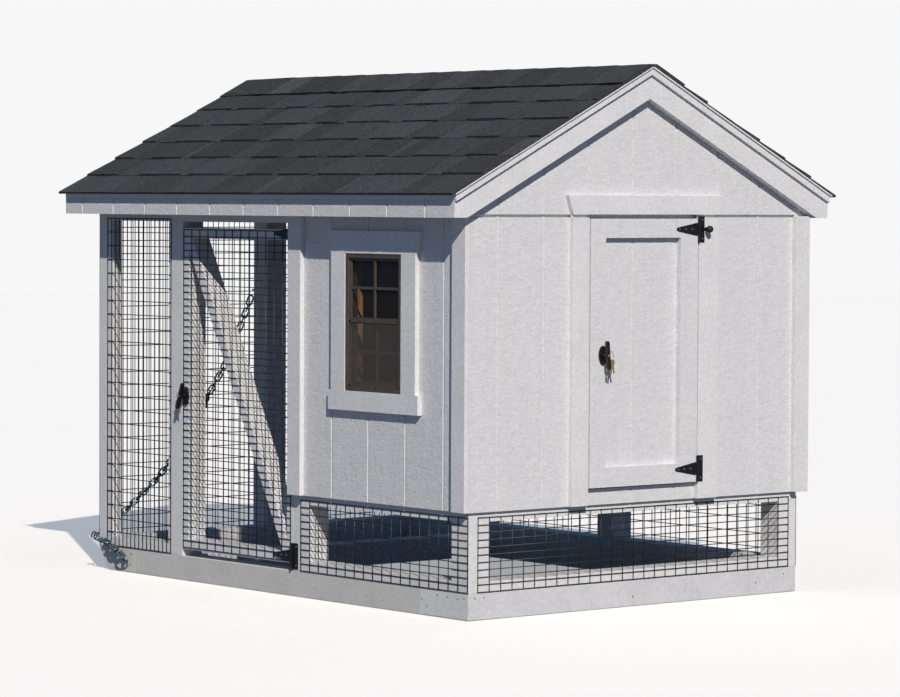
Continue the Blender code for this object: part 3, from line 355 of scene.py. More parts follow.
def embossed_siding():
    """Pressed wood siding with a rough-sawn face under acrylic paint: upright grain crossed by saw marks.

    The grain's streaks are 60 mm long, the saw marks 9 mm high, and rain has left faint streaks 900 mm long.
    """
    material, tree, surface = new_material("embossed_siding", {"Roughness": 0.6, "Specular IOR Level": 0.3})
    upright = stretched(tree, (14, 14, 60))
    grain = add_node(
        tree,
        "ShaderNodeTexNoise",
        {"Vector": upright, "Scale": 1.0, "Detail": 6.0, "Roughness": 0.65, "Distortion": 0.6},
    )
    level = stretched(tree, (22, 22, 9))
    saw_marks = add_node(
        tree,
        "ShaderNodeTexNoise",
        {"Vector": level, "Scale": 1.0, "Detail": 4.0, "Roughness": 0.7, "Distortion": 0.8},
    )
    rain = add_node(
        tree,
        "ShaderNodeTexNoise",
        {"Vector": stretched(tree, (45, 45, 900)), "Scale": 1.0, "Detail": 4.0, "Roughness": 0.55},
    )
    both = {0: grain.outputs["Fac"], 1: saw_marks.outputs["Fac"]}
    height = add_node(tree, "ShaderNodeMath", both, operation="ADD")
    paint = [(0.3, "#dbdce0"), (0.66, "#dedfe2"), (0.82, "#dcdbda")]
    weather = add_node(tree, "ShaderNodeValToRGB", {"Fac": rain.outputs["Fac"]}, stops=paint)
    # Painted shade: the saw marks' hollows, where the bump sinks, are darkened
    hollow_shade = add_node(tree, "ShaderNodeValToRGB", {"Fac": saw_marks.outputs["Fac"]}, stops=PAINT_HOLLOW_SHADE)
    mix = {0: 0.32, 1: weather.outputs[0], 2: hollow_shade.outputs[0]}
    shade = add_node(tree, "ShaderNodeMixRGB", mix, blend_type="MULTIPLY")
    finish_surface(tree, surface, shade.outputs[0], height.outputs[0], 1.8)
    return material


def bare_pine(name, grain):
    """Planed pine, unpainted: warm yellow with darker latewood lines and a little sheen."""
    material, tree, surface = new_material(name, {"Roughness": 0.7})
    rings = add_node(
        tree,
        "ShaderNodeTexNoise",
        {"Vector": stretched(tree, grain), "Scale": 1.0, "Detail": 4.0, "Distortion": 1.2},
    )
    wood = [(0.3, "#a8783f"), (0.5, "#d2a468"), (0.7, "#e0bd86")]
    tint = add_node(tree, "ShaderNodeValToRGB", {"Fac": rings.outputs["Fac"]}, stops=wood)
    finish_surface(tree, surface, tint.outputs[0], rings.outputs["Fac"], 0.4)
    return material


def strand_board():
    """Oriented strand board: pressed flakes about 40 mm long, each a slightly different yellow-brown."""
    material, tree, surface = new_material("strand_board", {"Roughness": 0.75})
    flakes = add_node(
        tree,
        "ShaderNodeTexVoronoi",
        {"Vector": stretched(tree, (40, 18, 18)), "Scale": 1.0, "Randomness": 1.0},
    )
    lightness = add_node(tree, "ShaderNodeRGBToBW", {"Color": flakes.outputs["Color"]})
    wood = [(0.1, "#8a6a3f"), (0.5, "#b99260"), (0.9, "#cfae7c")]
    tint = add_node(tree, "ShaderNodeValToRGB", {"Fac": lightness.outputs[0]}, stops=wood)
    finish_surface(tree, surface, tint.outputs[0], lightness.outputs[0], 0.5)
    return material


def asphalt_shingle():
    """Fibreglass-asphalt shingles faced with crushed stone: matte charcoal, each tab its own shade, gritty.

    The stone is 1 to 2 mm; it is drawn at 4 mm so that it shows.
    """
    material, tree, surface = new_material("asphalt_shingle", {"Roughness": 0.93, "Specular IOR Level": 0.25})
    island = add_node(tree, "ShaderNodeNewGeometry")
    charcoal = [(0.0, "#454547"), (0.35, "#4a4b4e"), (0.65, "#4e5154"), (0.9, "#535659"), (1.0, "#585d60")]
    tab = add_node(tree, "ShaderNodeValToRGB", {"Fac": island.outputs["Random Per Island"]}, stops=charcoal)
    grit = add_node(tree, "ShaderNodeTexVoronoi", {"Vector": stretched(tree, (4, 4, 4)), "Scale": 1.0})
    stone = add_node(tree, "ShaderNodeRGBToBW", {"Color": grit.outputs["Color"]})
    greys = [(0.1, "#6a6c6f"), (0.5, "#c6c9cb"), (0.9, "#ffffff")]
    speck = add_node(tree, "ShaderNodeValToRGB", {"Fac": stone.outputs[0]}, stops=greys)
    mix = {0: 0.8, 1: tab.outputs[0], 2: speck.outputs[0]}
    shade = add_node(tree, "ShaderNodeMixRGB", mix, blend_type="MULTIPLY")
    finish_surface(tree, surface, shade.outputs[0], stone.outputs[0], 1.2)
    return material


def coated_metal(name, colours, shader, grit, relief):
    """A metal or plastic coat that is nearly even: two close colours in soft patches, and a fine skin.

    The patches are 12 mm. grit is the size of the skin's grain and relief its height, both in millimetres.
    """
    material, tree, surface = new_material(name, shader)
    patches = add_node(
        tree,
        "ShaderNodeTexNoise",
        {"Vector": stretched(tree, (12, 12, 12)), "Scale": 1.0, "Detail": 4.0},
    )
    skin = add_node(
        tree,
        "ShaderNodeTexNoise",
        {"Vector": stretched(tree, (grit, grit, grit)), "Scale": 1.0, "Detail": 2.0},
    )
    coat = [(0.35, colours[0]), (0.65, colours[1])]
    tint = add_node(tree, "ShaderNodeValToRGB", {"Fac": patches.outputs["Fac"]}, stops=coat)
    finish_surface(tree, surface, tint.outputs[0], skin.outputs["Fac"], relief)
    return material


def float_glass():
    """Clear float glass, lightly soiled: it darkens what is behind it and takes a sharp reflection."""
    shader = {"Roughness": 0.04, "IOR": 1.5, "Alpha": 0.3, "Specular IOR Level": 0.6}
    return coated_metal("float_glass", ("#262524", "#2e2c2b"), shader, 40, 0.02)


def insect_screen():
    """Woven dark glass-fibre screen: a thin veil. Its threads, 1.4 mm apart, are drawn 3 mm apart to show."""
    shader = {"Roughness": 0.8, "Alpha": 0.3}
    return coated_metal("insect_screen", ("#5a5653", "#625e5a"), shader, 3, 0.3)


def make_wood_materials():
    """Painted and bare wood, one for each way that the grain runs."""
    boards = ("#dddee1", "#e4e5e8")
    return {
        "siding": embossed_siding(),
        "trim_x": painted_wood("painted_fir_lengthwise", (90, 5, 5), boards, 0.8),
        "trim_y": painted_wood("painted_fir_crosswise", (5, 90, 5), boards, 0.8),
        "trim_z": painted_wood("painted_fir_upright", (5, 5, 90), boards, 0.8),
        # The skids stand on the ground: their paint is greyer, and the front one is a little yellowed
        "skid_x": painted_wood("painted_skid_lengthwise", (120, 7, 7), ("#cfcfcc", "#dad9d6"), 0.7),
        "skid_y": painted_wood("painted_skid_crosswise", (7, 120, 7), ("#d2d3d7", "#dbdce0"), 0.7),
        "pine_x": bare_pine("bare_pine_lengthwise", (120, 9, 9)),
        "pine_z": bare_pine("bare_pine_upright", (9, 9, 120)),
        "board": strand_board(),
    }


def make_hardware_materials():
    """Metals and rubber."""
    black = {"Roughness": 0.38, "Specular IOR Level": 0.5}
    zinc = {"Roughness": 0.42, "Metallic": 0.8}
    steel = {"Roughness": 0.4, "Metallic": 0.6}
    brass = {"Roughness": 0.35, "Metallic": 0.7}
    return {
        # Baked powder coat: deep black, half gloss, with a faint orange peel
        "black": coated_metal("black_powder_coat", ("#141416", "#1c1c1f"), black, 1.5, 0.1),
        # Moulded rubber: black and dull
        "rubber": coated_metal("moulded_rubber", ("#121212", "#1a1a1a"), {"Roughness": 0.6}, 2, 0.05),
        # Vinyl dipped over welded wire: black with soft highlights and slight drips
        "wire": coated_metal("vinyl_coated_wire", ("#15181b", "#1f2326"), {"Roughness": 0.42}, 6, 0.1),
        # Extruded aluminium with a baked bronze enamel: dark brown, low sheen, very even
        "bronze": coated_metal("bronze_aluminium", ("#48403b", "#574e49"), {"Roughness": 0.45}, 3, 0.05),
        # Coil-coated sheet steel: clean white, smoother than the painted wood beside it
        "drip": coated_metal("white_coil_coated_steel", ("#e4e5e6", "#efefef"), {"Roughness": 0.35}, 8, 0.05),
        # Hot-dipped zinc: blue-grey with pale patches, half dull
        "zinc": coated_metal("galvanised_steel", ("#6d8288", "#93a3a6"), zinc, 3, 0.2),
        # Steel screws whose black finish has worn off the edges: mid grey
        "steel": coated_metal("worn_black_steel", ("#4b4d50", "#76787b"), steel, 1.5, 0.05),
        # Rolled brass, lightly tarnished: pale gold with soft highlights
        "brass": coated_metal("rolled_brass", ("#c3a266", "#d6bb84"), brass, 1.5, 0.05),
    }


def make_materials():
    """Every material by the short name that the pieces ask for."""
    return {
        **make_wood_materials(),
        **make_hardware_materials(),
        "shingle": asphalt_shingle(),
        "glass": float_glass(),
        "screen": insect_screen(),
    }


# ---------------------------------------------------------------- mesh tools

def to_mesh(name, shape):
    """A bmesh as a mesh of this name; the bmesh is used up."""
    mesh = bpy.data.meshes.new(name)
    shape.to_mesh(mesh)
    shape.free()
    return mesh


def add_piece(name, mesh, materials, body, nodes=()):
    """Puts a finished mesh in the scene, on its body and the CAD nodes it stands for.

    materials names the material of each of the mesh's material numbers, one after another.
    """
    for material in materials.split():
        mesh.materials.append(MATERIALS[material])
    piece = bpy.data.objects.new(name, mesh)
    bpy.context.scene.collection.objects.link(piece)
    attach(piece, body)
    if nodes:
        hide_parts(*nodes)
    return piece


def add_box(shape, low, high):
    """Adds a box between two corners, in inches, to a bmesh."""
    low = Vector(low) * INCH
    high = Vector(high) * INCH
    place = Matrix.Translation((low + high) / 2) @ Matrix.Diagonal((*(high - low), 1))
    bmesh.ops.create_cube(shape, size=1, matrix=place)


def add_rod(shape, start, end, radius, sides):
    """Adds a round rod between two points, in inches, to a bmesh."""
    start = Vector(start) * INCH
    end = Vector(end) * INCH
    along = end - start
    turn = Vector((0, 0, 1)).rotation_difference(along).to_matrix().to_4x4()
    bmesh.ops.create_cone(
        shape,
        cap_ends=True,
        segments=sides,
        radius1=radius * INCH,
        radius2=radius * INCH,
        depth=along.length,
        matrix=Matrix.Translation((start + end) / 2) @ turn,
    )


def join_rings(shape, near, far):
    """Closes the space between two rings of as many vertices with four-sided faces, and gives the faces."""
    count = len(near)
    faces = []
    for k in range(count):
        n = (k + 1) % count
        faces.append(shape.faces.new((near[n], near[k], far[k], far[n])))
    return faces


def node_shape(node):
    """A CAD node's own mesh as a bmesh, with its triangles joined back into flat faces."""
    shape = bmesh.new()
    shape.from_mesh(frame["nodes"][node].data)
    bmesh.ops.remove_doubles(shape, verts=shape.verts, dist=WELD * MM)
    flat = math.radians(FLAT_ANGLE)
    bmesh.ops.dissolve_limit(shape, angle_limit=flat, verts=shape.verts, edges=shape.edges)
    return shape


def ease_edges(shape, width, leave=()):
    """Rounds sharp edges by width, in millimetres, as sanding and paint do, except at the faces to leave."""
    sharp_angle = math.radians(SHARP_ANGLE)
    sharp = [
        e
        for e in shape.edges
        if e.is_manifold and not any(f in leave for f in e.link_faces) and e.calc_face_angle(0) > sharp_angle
    ]
    bmesh.ops.bevel(
        shape, geom=sharp, offset=width * MM, segments=2, profile=0.5, affect="EDGES", clamp_overlap=True
    )
    bmesh.ops.recalc_face_normals(shape, faces=shape.faces)


def cut_away(mesh, tool_shape):
    """The mesh with a bmesh's solids cut out of it."""
    tool = bpy.data.objects.new("tool", to_mesh("tool", tool_shape))
    work = bpy.data.objects.new("work", mesh)
    for thing in (tool, work):
        bpy.context.scene.collection.objects.link(thing)
    saw = work.modifiers.new("saw", "BOOLEAN")
    saw.object = tool
    saw.operation = "DIFFERENCE"
    saw.solver = "EXACT"
    bpy.context.view_layer.update()
    done = bpy.data.meshes.new_from_object(work.evaluated_get(bpy.context.evaluated_depsgraph_get()))
    bpy.data.objects.remove(work)
    bpy.data.objects.remove(tool)
    return done


def inches(node):
    """A CAD node's lowest and highest corners, in inches."""
    low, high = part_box(node)
    return low / INCH, high / INCH


def body_of(node):
    """The name of the body that a CAD node moves with."""
    bodies = frame["record"]["behaviour"]["bodies"]
    return next(body for body, members in bodies.items() if node in members)


# ---------------------------------------------------------------- painted wood

def long_axis(node):
    """The name of the axis along which a CAD node is longest."""
    low, high = inches(node)
    size = high - low
    return "xyz"[max(range(3), key=lambda i: size[i])]


def cut_joints(mesh, node):
    """Saws the joint lines between the lengths of timber into the outer face of a skid."""
    low, high = inches(node)
    cutter = bmesh.new()
    half = JOINT_WIDTH / 2
    if node == "runner_front":
        for x in FRONT_JOINTS:
            add_box(cutter, (x - half, low.y - PAST, -PAST), (x + half, low.y + JOINT_DEPTH, high.z + PAST))
    else:
        for y in RIGHT_JOINTS:
            add_box(cutter, (high.x - JOINT_DEPTH, y - half, -PAST), (high.x + PAST, y + half, high.z + PAST))
    return cut_away(mesh, cutter)


def ease_boards():
    """Every painted board with its edges eased, and its grain along its length."""
    boards = [n for n in frame["nodes"] if n.startswith(("post_", "beam_", "runner_", "trim_"))]
    boards += ["sill_plates", "top_plates", "run_door", "window_casing", "pop_door", "barge_right"]
    grain_along = {"window_casing": "x", "barge_right": "y"}
    for node in boards:
        is_skid = node.startswith(("runner_", "beam_"))
        shape = node_shape(node)
        ease_edges(shape, TIMBER_EDGE if is_skid else BOARD_EDGE)
        mesh = to_mesh(node, shape)
        if node in ("runner_front", "beam_right"):
            mesh = cut_joints(mesh, node)
        paint = ("skid_" if is_skid else "trim_") + grain_along.get(node, long_axis(node))
        add_piece(f"eased_{node}", mesh, paint, body_of(node), [node])


def cut_grooves(mesh, facing, face, first, low, high):
    """Saws upright grooves every 8 in into the outer side of siding, whose face is at this place, in inches.

    facing is the axis and sign that the siding faces; low and high bound the grooves' other two places.
    """
    axis, sign = facing
    across = 1 - axis
    cutter = bmesh.new()
    count = math.floor((low[0] - first) / GROOVE_SPACING) + 1
    place = first + count * GROOVE_SPACING
    while place < high[0]:
        near = [0, 0, low[1]]
        far = [0, 0, high[1]]
        near[across] = place - GROOVE_WIDTH / 2
        far[across] = place + GROOVE_WIDTH / 2
        near[axis] = min(face - sign * GROOVE_DEPTH, face + sign * PAST)
        far[axis] = max(face - sign * GROOVE_DEPTH, face + sign * PAST)
        add_box(cutter, near, far)
        place += GROOVE_SPACING
    return cut_away(mesh, cutter)


def groove_siding():
    """The grooved siding of the walls, gables, fascias and door."""
    right = inches("siding_right")[1].x
    left = inches("post_front_left")[0].x - SIDING
    back = inches("siding_back")[1].y
    wall_low, wall_high = inches("siding_front")
    eave_low, eave_high = inches("fascia_front")
    door_low, door_high = inches("door_right")
    end = ((GROOVE_KEEP - back, 0), (back - GROOVE_KEEP, ABOVE_WALLS))
    wall = ((wall_low.x + GROOVE_KEEP, 0), (wall_high.x - GROOVE_KEEP, ABOVE_WALLS))
    eave = ((eave_low.x + GROOVE_KEEP, 0), (eave_high.x - GROOVE_KEEP, ABOVE_WALLS))
    panel = (
        (door_low.y + DOOR_STILES[0], door_low.z + DOOR_RAILS[0]),
        (door_high.y - DOOR_STILES[1], door_high.z - DOOR_RAILS[1]),
    )
    sheets = {
        "siding_right": ((0, 1), right, GROOVES_RIGHT_FROM, end),
        "gable_right": ((0, 1), right, GROOVES_RIGHT_FROM, end),
        "gable_left": ((0, -1), left, GROOVES_RIGHT_FROM, end),
        "siding_front": ((1, -1), -back, GROOVES_FRONT_FROM, wall),
        "siding_back": ((1, 1), back, GROOVES_FRONT_FROM, wall),
        "fascia_front": ((1, -1), eave_low.y, GROOVES_FASCIA_FROM, eave),
        "fascia_back": ((1, 1), -eave_low.y, GROOVES_FASCIA_FROM, eave),
        "door_right": ((0, 1), right, GROOVES_RIGHT_FROM, panel),
    }
    for node, (facing, face, first, (low, high)) in sheets.items():
        grooved = cut_grooves(to_mesh(node, node_shape(node)), facing, face, first, low, high)
        add_piece(f"grooved_{node}", grooved, "siding", body_of(node), [node])


def make_door_casing():
    """The boards round the house door, with the siding's seam sawn in, and the black rubber door stop."""
    shape = node_shape("door_casing")
    door_face = inches("door_right")[1].x
    ball = {v for v in shape.verts if v.co.x > door_face * INCH + 0.5 * MM}
    rubber = [f for f in shape.faces if any(v in ball for v in f.verts)]
    for f in rubber:
        f.material_index = 1
        f.smooth = True
    ease_edges(shape, BOARD_EDGE, rubber)
    low, high = inches("door_casing")
    seam_low = inches("siding_right")[1].z
    seam_high = inches("gable_right")[0].z
    seam_back = door_face - SEAM_DEPTH
    seam = bmesh.new()
    add_box(seam, (seam_back, low.y - PAST, seam_low), (seam_back + PAST, high.y + PAST, seam_high))
    casing = cut_away(to_mesh("door_casing", shape), seam)
    add_piece("eased_door_casing", casing, "trim_z rubber", "coop", ["door_casing"])


# ---------------------------------------------------------------- roof

def slope_point(side, x, s, h):
    """A point on a roof slope, in metres: s inches up from the eave's edge and h inches out of the deck."""
    low = inches("shingles")[0]
    y = low.y + SHINGLE_INSET + s * math.cos(ROOF_TILT) - h * math.sin(ROOF_TILT)
    z = low.z + SHINGLE_INSET * ROOF_SLOPE + s * math.sin(ROOF_TILT) + h * math.cos(ROOF_TILT)
    return Vector((x, y * side, z)) * INCH


def slope_length():
    """The length of a roof slope from the eave's edge to the ridge, in inches."""
    return (-inches("shingles")[0].y - SHINGLE_INSET) / math.cos(ROOF_TILT)


def add_slab(shape, side, low_x, high_x, profile):
    """A prism along x whose section is a profile of (s, h) points on a roof slope."""
    ends = [[shape.verts.new(slope_point(side, x, s, h)) for s, h in profile] for x in (low_x, high_x)]
    shape.faces.new(ends[0])
    shape.faces.new(ends[1][::-1])
    join_rings(shape, *ends)


def band(near, far, low, high):
    """The profile of a flat strip on a roof slope: how far up it runs, and its under and upper sides."""
    return [(near, low), (near, high), (far, high), (far, low)]


def add_course(shape, side, course, exposure):
    """One course: a plain under-layer in lengths, and thicker tabs of random width laid over it."""
    low, high = inches("shingles")
    start = course * exposure
    end = min(start + exposure + SHINGLE_OVERLAP, COURSES * exposure)
    strip = [(start, 0), (start, SHINGLE_BUTT), (end, UNDERLAY), (end, 0)]
    x = low.x
    while x < high.x - SHINGLE_TRIM:
        stop = x + random_source.uniform(*STRIP_LENGTHS)
        is_last = high.x - stop < SHORTEST_STRIP
        if is_last:
            stop = high.x - random_source.uniform(0, SHINGLE_TRIM)
        add_slab(shape, side, x, stop, strip)
        if is_last:
            break
        x = stop
    thick = TAB_BUTT if course else EAVE_TAB_BUTT
    x = low.x + random_source.uniform(*FIRST_TAB)
    while x < high.x:
        stop = x + random_source.uniform(*TAB_WIDTHS)
        near = max(x, low.x)
        far = min(stop, high.x - random_source.uniform(0, SHINGLE_TRIM))
        if far - near > NARROWEST_TAB:
            butt = start + random_source.uniform(0, TAB_STAGGER)
            add_slab(shape, side, near, far, [(butt, 0), (butt, thick), (end, UNDERLAY + TAB_TAIL), (end, 0)])
        x = stop + random_source.uniform(*TAB_GAPS)


def add_cap(shape, low_x, high_x, length):
    """One ridge cap: a tab bent over the ridge, thick at its open end and tucked under the next one."""
    rings = []
    for x, height in zip((low_x, high_x), CAP_HEIGHTS):
        top = [slope_point(1, x, length - s, UNDERLAY + height) for s in (CAP_REACH, *CAP_BEND)]
        mirror = [Vector((p.x, -p.y, p.z)) for p in reversed(top)]
        foot, ridge = [slope_point(1, x, length - s, CAP_FOOT) for s in (CAP_REACH, 0)]
        outline = [*top, *mirror, Vector((foot.x, -foot.y, foot.z)), ridge, foot]
        rings.append([shape.verts.new(p) for p in outline])
    shape.faces.new(rings[0])
    shape.faces.new(rings[1][::-1])
    join_rings(shape, *rings)


def make_shingles():
    """Both slopes' courses of shingles over one layer of felt, and the caps along the ridge."""
    shape = bmesh.new()
    low, high = inches("shingles")
    length = slope_length()
    felt = band(FELT_INSET, length - FELT_INSET, FELT_LIFT, UNDERLAY)
    for side in (1, -1):
        add_slab(shape, side, low.x + FELT_SHORT[0], high.x - FELT_SHORT[1], felt)
        for course in range(COURSES):
            add_course(shape, side, course, length / COURSES)
    x = low.x
    while x < high.x - SHORTEST_CAP:
        add_cap(shape, x, min(x + CAP_LENGTH, high.x - random_source.uniform(0, SHINGLE_TRIM)), length)
        x += CAP_EXPOSURE
    bmesh.ops.recalc_face_normals(shape, faces=shape.faces)
    mesh = to_mesh("shingle_courses", shape)
    add_piece("shingle_courses", mesh, "shingle", "coop", ["shingles"])


def make_drip_edges():
    """The folded metal under the shingles: a lip that stands out over the boards, and the eaves' face."""
    right = inches("barge_right")[1].x
    left = inches("gable_left")[0].x
    lip = band(DRIP_FROM, slope_length(), -DRIP_DROP, -DRIP_SUNK)
    flat = band(EAVE_METAL_FROM, EAVE_METAL_TO, -EAVE_METAL_SUNK[0], -EAVE_METAL_SUNK[1])
    shape = bmesh.new()
    for side in (1, -1):
        add_slab(shape, side, right - DRIP_TUCK, right + DRIP_LIP, lip)
        add_slab(shape, side, left - DRIP_LIP, left + DRIP_TUCK, lip)
        add_slab(shape, side, left, right, flat)
    fascia = inches("fascia_front")[0].y
    top = inches("fascia_front")[1].z
    for sign in (1, -1):
        near, far = sorted(sign * (fascia - out) for out in EAVE_FACE_OUT)
        add_box(shape, (left, near, top - EAVE_FACE_BELOW), (right, far, top + EAVE_FACE_ABOVE))
    bmesh.ops.recalc_face_normals(shape, faces=shape.faces)
    add_piece("drip_edges", to_mesh("drip_edges", shape), "drip", "coop")


# ---------------------------------------------------------------- wire

def make_wire_sheet(node, column_gap, row_gap, top_at=None):
    """Welded wire in place of a flat sheet: upright wires and cross wires, welded where they meet.

    top_at gives the height of the sheet's top edge at a place along it, where that isn't the same all along.
    """
    low, high = inches(node)
    size = high - low
    thin = min(range(3), key=lambda i: size[i])
    along = 1 - thin
    shape = bmesh.new()

    def point(u, z):
        """A point in the middle of the sheet: u along it and z high."""
        place = [0, 0, z]
        place[thin] = (low[thin] + high[thin]) / 2
        place[along] = u
        return place

    columns = round(size[along] / column_gap)
    for k in range(columns + 1):
        u = low[along] + WIRE + (size[along] - 2 * WIRE) * k / columns
        top = high.z if top_at is None else top_at(u)
        add_rod(shape, point(u, low.z), point(u, top), WIRE, WIRE_SIDES)
    rows = round(size.z / row_gap)
    for k in range(rows + 1):
        z = low.z + WIRE + (size.z - 2 * WIRE) * k / rows
        far = high[along]
        if top_at is not None:
            spots = [u for u in range(round(low[along]), round(high[along])) if top_at(u) >= z]
            far = min(high[along], max(spots) + 1)
        add_rod(shape, point(low[along], z), point(far, z), WIRE, WIRE_SIDES)
    for face in shape.faces:
        face.smooth = len(face.verts) == 4
    add_piece(f"wires_{node}", to_mesh(node, shape), "wire", body_of(node), [node])


def make_wires():
    """Every wire sheet, with 1 x 2 in openings; the back's, the largest, is drawn with 2 x 2 in ones."""
    make_wire_sheet("mesh_run_door", WIDE_GAP, NARROW_GAP)
    make_wire_sheet("mesh_front_left", NARROW_GAP, WIDE_GAP)
    make_wire_sheet("mesh_house_front", WIDE_GAP, NARROW_GAP)
    make_wire_sheet("mesh_house_right", WIDE_GAP, NARROW_GAP)
    make_wire_sheet("mesh_left_end", NARROW_GAP, WIDE_GAP)
    under = inches("mesh_house_right")[1].z
    partition = inches("partition")[0].x
    top = inches("mesh_back")[1].z
    make_wire_sheet("mesh_back", WIDE_GAP, WIDE_GAP, lambda x: top if x < partition else under)


# ---------------------------------------------------------------- hardware

def add_screw(shape, place, facing, radius):
    """A low domed screw head with a dimple, at a point in inches, facing along a unit vector."""
    turn = Vector((0, 0, 1)).rotation_difference(Vector(facing)).to_matrix()
    outline = []
    for k in range(SCREW_RINGS):
        angle = math.radians(90 * k / SCREW_RINGS)
        outline.append((radius * math.cos(angle), radius * SCREW_DOME * math.sin(angle)))
    outline.append((radius * SCREW_DIMPLE[0], radius * SCREW_DIMPLE[1]))
    rings = []
    for r, h in outline:
        turns = [2 * math.pi * n / SCREW_SIDES for n in range(SCREW_SIDES)]
        ring = [Vector(place) + turn @ Vector((r * math.cos(a), r * math.sin(a), h)) for a in turns]
        rings.append([shape.verts.new(p * INCH) for p in ring])
    for lower, upper in zip(rings, rings[1:]):
        join_rings(shape, upper, lower)
    shape.faces.new(rings[-1])
    shape.faces.new(rings[0][::-1])


def make_hinge_screws():
    """Three screws in each hinge strap and two in each leaf but the run door's hidden upper one."""
    for door, body in (("door", "house_door"), ("run", "run_door")):
        on_door = bmesh.new()
        on_frame = bmesh.new()
        for where in ("top", "bottom"):
            low, high = inches(f"hinge_{door}_{where}_strap")
            leaf_low, leaf_high = inches(f"hinge_{door}_{where}_leaf")
            middle = (low.z + high.z) / 2
            for reach in STRAP_SCREWS:
                if door == "door":
                    add_screw(on_door, (low.x + HINGE_PLATE, low.y + reach, middle), (1, 0, 0), HINGE_SCREW)
                else:
                    add_screw(on_door, (low.x + reach, high.y - HINGE_PLATE, middle), (0, -1, 0), HINGE_SCREW)
            for rise in LEAF_SCREWS:
                if door == "door":
                    place = (leaf_low.x + HINGE_PLATE, leaf_high.y - LEAF_INSET, middle + rise)
                    add_screw(on_frame, place, (1, 0, 0), HINGE_SCREW)
                elif where == "bottom":
                    place = (leaf_high.x - LEAF_INSET, leaf_high.y - HINGE_PLATE, middle + rise)
                    add_screw(on_frame, place, (0, -1, 0), HINGE_SCREW)
        add_piece(f"screws_{body}", to_mesh("screws", on_door), "steel", body)
        add_piece(f"screws_{door}_frame", to_mesh("screws", on_frame), "steel", "coop")


def add_loop(shape, centre, long_dir, side_dir, half_length, half_width, radius, steps=20):
    """A closed wire loop, round or a straight-sided link, from a centre and two directions, in inches."""
    u = Vector(long_dir).normalized()
    v = Vector(side_dir).normalized()
    w = u.cross(v)
    straight = half_length - half_width
    rings = []
    for k in range(steps):
        a = 2 * math.pi * k / steps
        offset = straight if math.cos(a) > 0 else -straight
        out = u * math.cos(a) + v * math.sin(a)
        middle = Vector(centre) + u * offset + out * half_width
        turns = [2 * math.pi * n / LOOP_SIDES for n in range(LOOP_SIDES)]
        ring = [middle + (out * math.cos(b) + w * math.sin(b)) * radius for b in turns]
        rings.append([shape.verts.new(p * INCH) for p in ring])
    for k in range(steps):
        for face in join_rings(shape, rings[k], rings[(k + 1) % steps]):
            face.smooth = True


def add_key(shape, top, side, tilt):
    """A flat key hanging from a point, in inches: an oval bow and a notched blade.

    side is the direction, along the door, that the key's flat lies in.
    """
    down = Vector((0, 0, -1))
    side = Vector(side)
    swing = Matrix.Rotation(math.radians(tilt), 3, side.cross(down))
    down = swing @ down
    side = swing @ side
    out = side.cross(down)
    bow = []
    for k in range(BOW_SIDES):
        a = 2 * math.pi * (k + 0.5) / BOW_SIDES + math.pi / 2
        bow.append((BOW_WIDTH * math.cos(a), BOW_LENGTH - BOW_LENGTH * math.sin(a)))
    for outline in (bow, BLADE):
        faces = []
        for layer in (-KEY_HALF, KEY_HALF):
            points = [top + side * a + down * b + out * layer for a, b in outline]
            faces.append([shape.verts.new(p * INCH) for p in points])
        shape.faces.new(faces[0][::-1])
        shape.faces.new(faces[1])
        join_rings(shape, faces[1], faces[0])


def make_lock(prefix, body, spot, outward, side):
    """A turning handle with its edges moulded round, and the slit brass lock sunk in its middle."""
    shape = node_shape(f"{prefix}_handle")
    ease_edges(shape, HANDLE_EDGE)
    hole = bmesh.new()
    add_rod(hole, spot - outward * LOCK_HOLE_DEPTH, spot + outward * PAST, LOCK_HOLE, ROUND_SIDES)
    mesh = cut_away(to_mesh(prefix, shape), hole)
    add_piece(f"moulded_{prefix}", mesh, "black", body, [f"{prefix}_handle"])
    lock = bmesh.new()
    face = spot - outward * LOCK_SUNK
    add_rod(lock, spot - outward * LOCK_DEPTH, face, LOCK_RADIUS, ROUND_SIDES)
    half = side * SLIT_WIDTH + Vector((0, 0, SLIT_HEIGHT)) + outward * SLIT_WIDTH
    corners = list(zip(face - half, face + half))
    slit = bmesh.new()
    add_box(slit, [min(pair) for pair in corners], [max(pair) for pair in corners])
    add_piece(f"{prefix}_lock", cut_away(to_mesh("lock", lock), slit), "brass", body)


def make_keys(prefix, door, hang, outward, side, sway):
    """Two keys on a ring that hangs beside a handle."""
    ring_centre = hang + Vector((0, 0, -RING_DROP)) + side * sway * RING_ASIDE
    ring = bmesh.new()
    add_loop(ring, ring_centre, (0, 0, 1), side, RING_RADIUS, RING_RADIUS, RING_WIRE)
    add_piece(f"{prefix}_key_ring", to_mesh("ring", ring), "zinc", door)
    knot = ring_centre + Vector((0, 0, -KEY_DROP)) + side * sway * KEY_ASIDE
    keys = bmesh.new()
    for apart, tilt in zip((-KEY_APART, KEY_APART), KEY_TILTS):
        add_key(keys, knot + outward * apart, side, tilt)
    add_piece(f"{prefix}_keys", to_mesh("keys", keys), "brass", door)


def make_handle(prefix, door, outward, side, sway):
    """One door's turning handle with its lock, the keys beside it and the rose behind it.

    outward and side are the directions out of the door and along it; sway is the keys' way along side.
    """
    axis = 0 if outward.x else 1
    end = 1 if outward[axis] > 0 else 0
    rose_box = inches(f"{prefix}_rose")
    spot = (rose_box[0] + rose_box[1]) / 2
    hang = spot.copy()
    spot[axis] = inches(f"{prefix}_handle")[end][axis]
    hang[axis] = rose_box[end][axis] + outward[axis] * RING_OUT
    make_lock(prefix, f"{door}_handle", spot, outward, side)
    make_keys(prefix, door, hang, outward, side, sway)
    rose = node_shape(f"{prefix}_rose")
    ease_edges(rose, ROSE_EDGE)
    mesh = to_mesh("rose", rose)
    add_piece(f"moulded_{prefix}_rose", mesh, "black", door, [f"{prefix}_rose"])


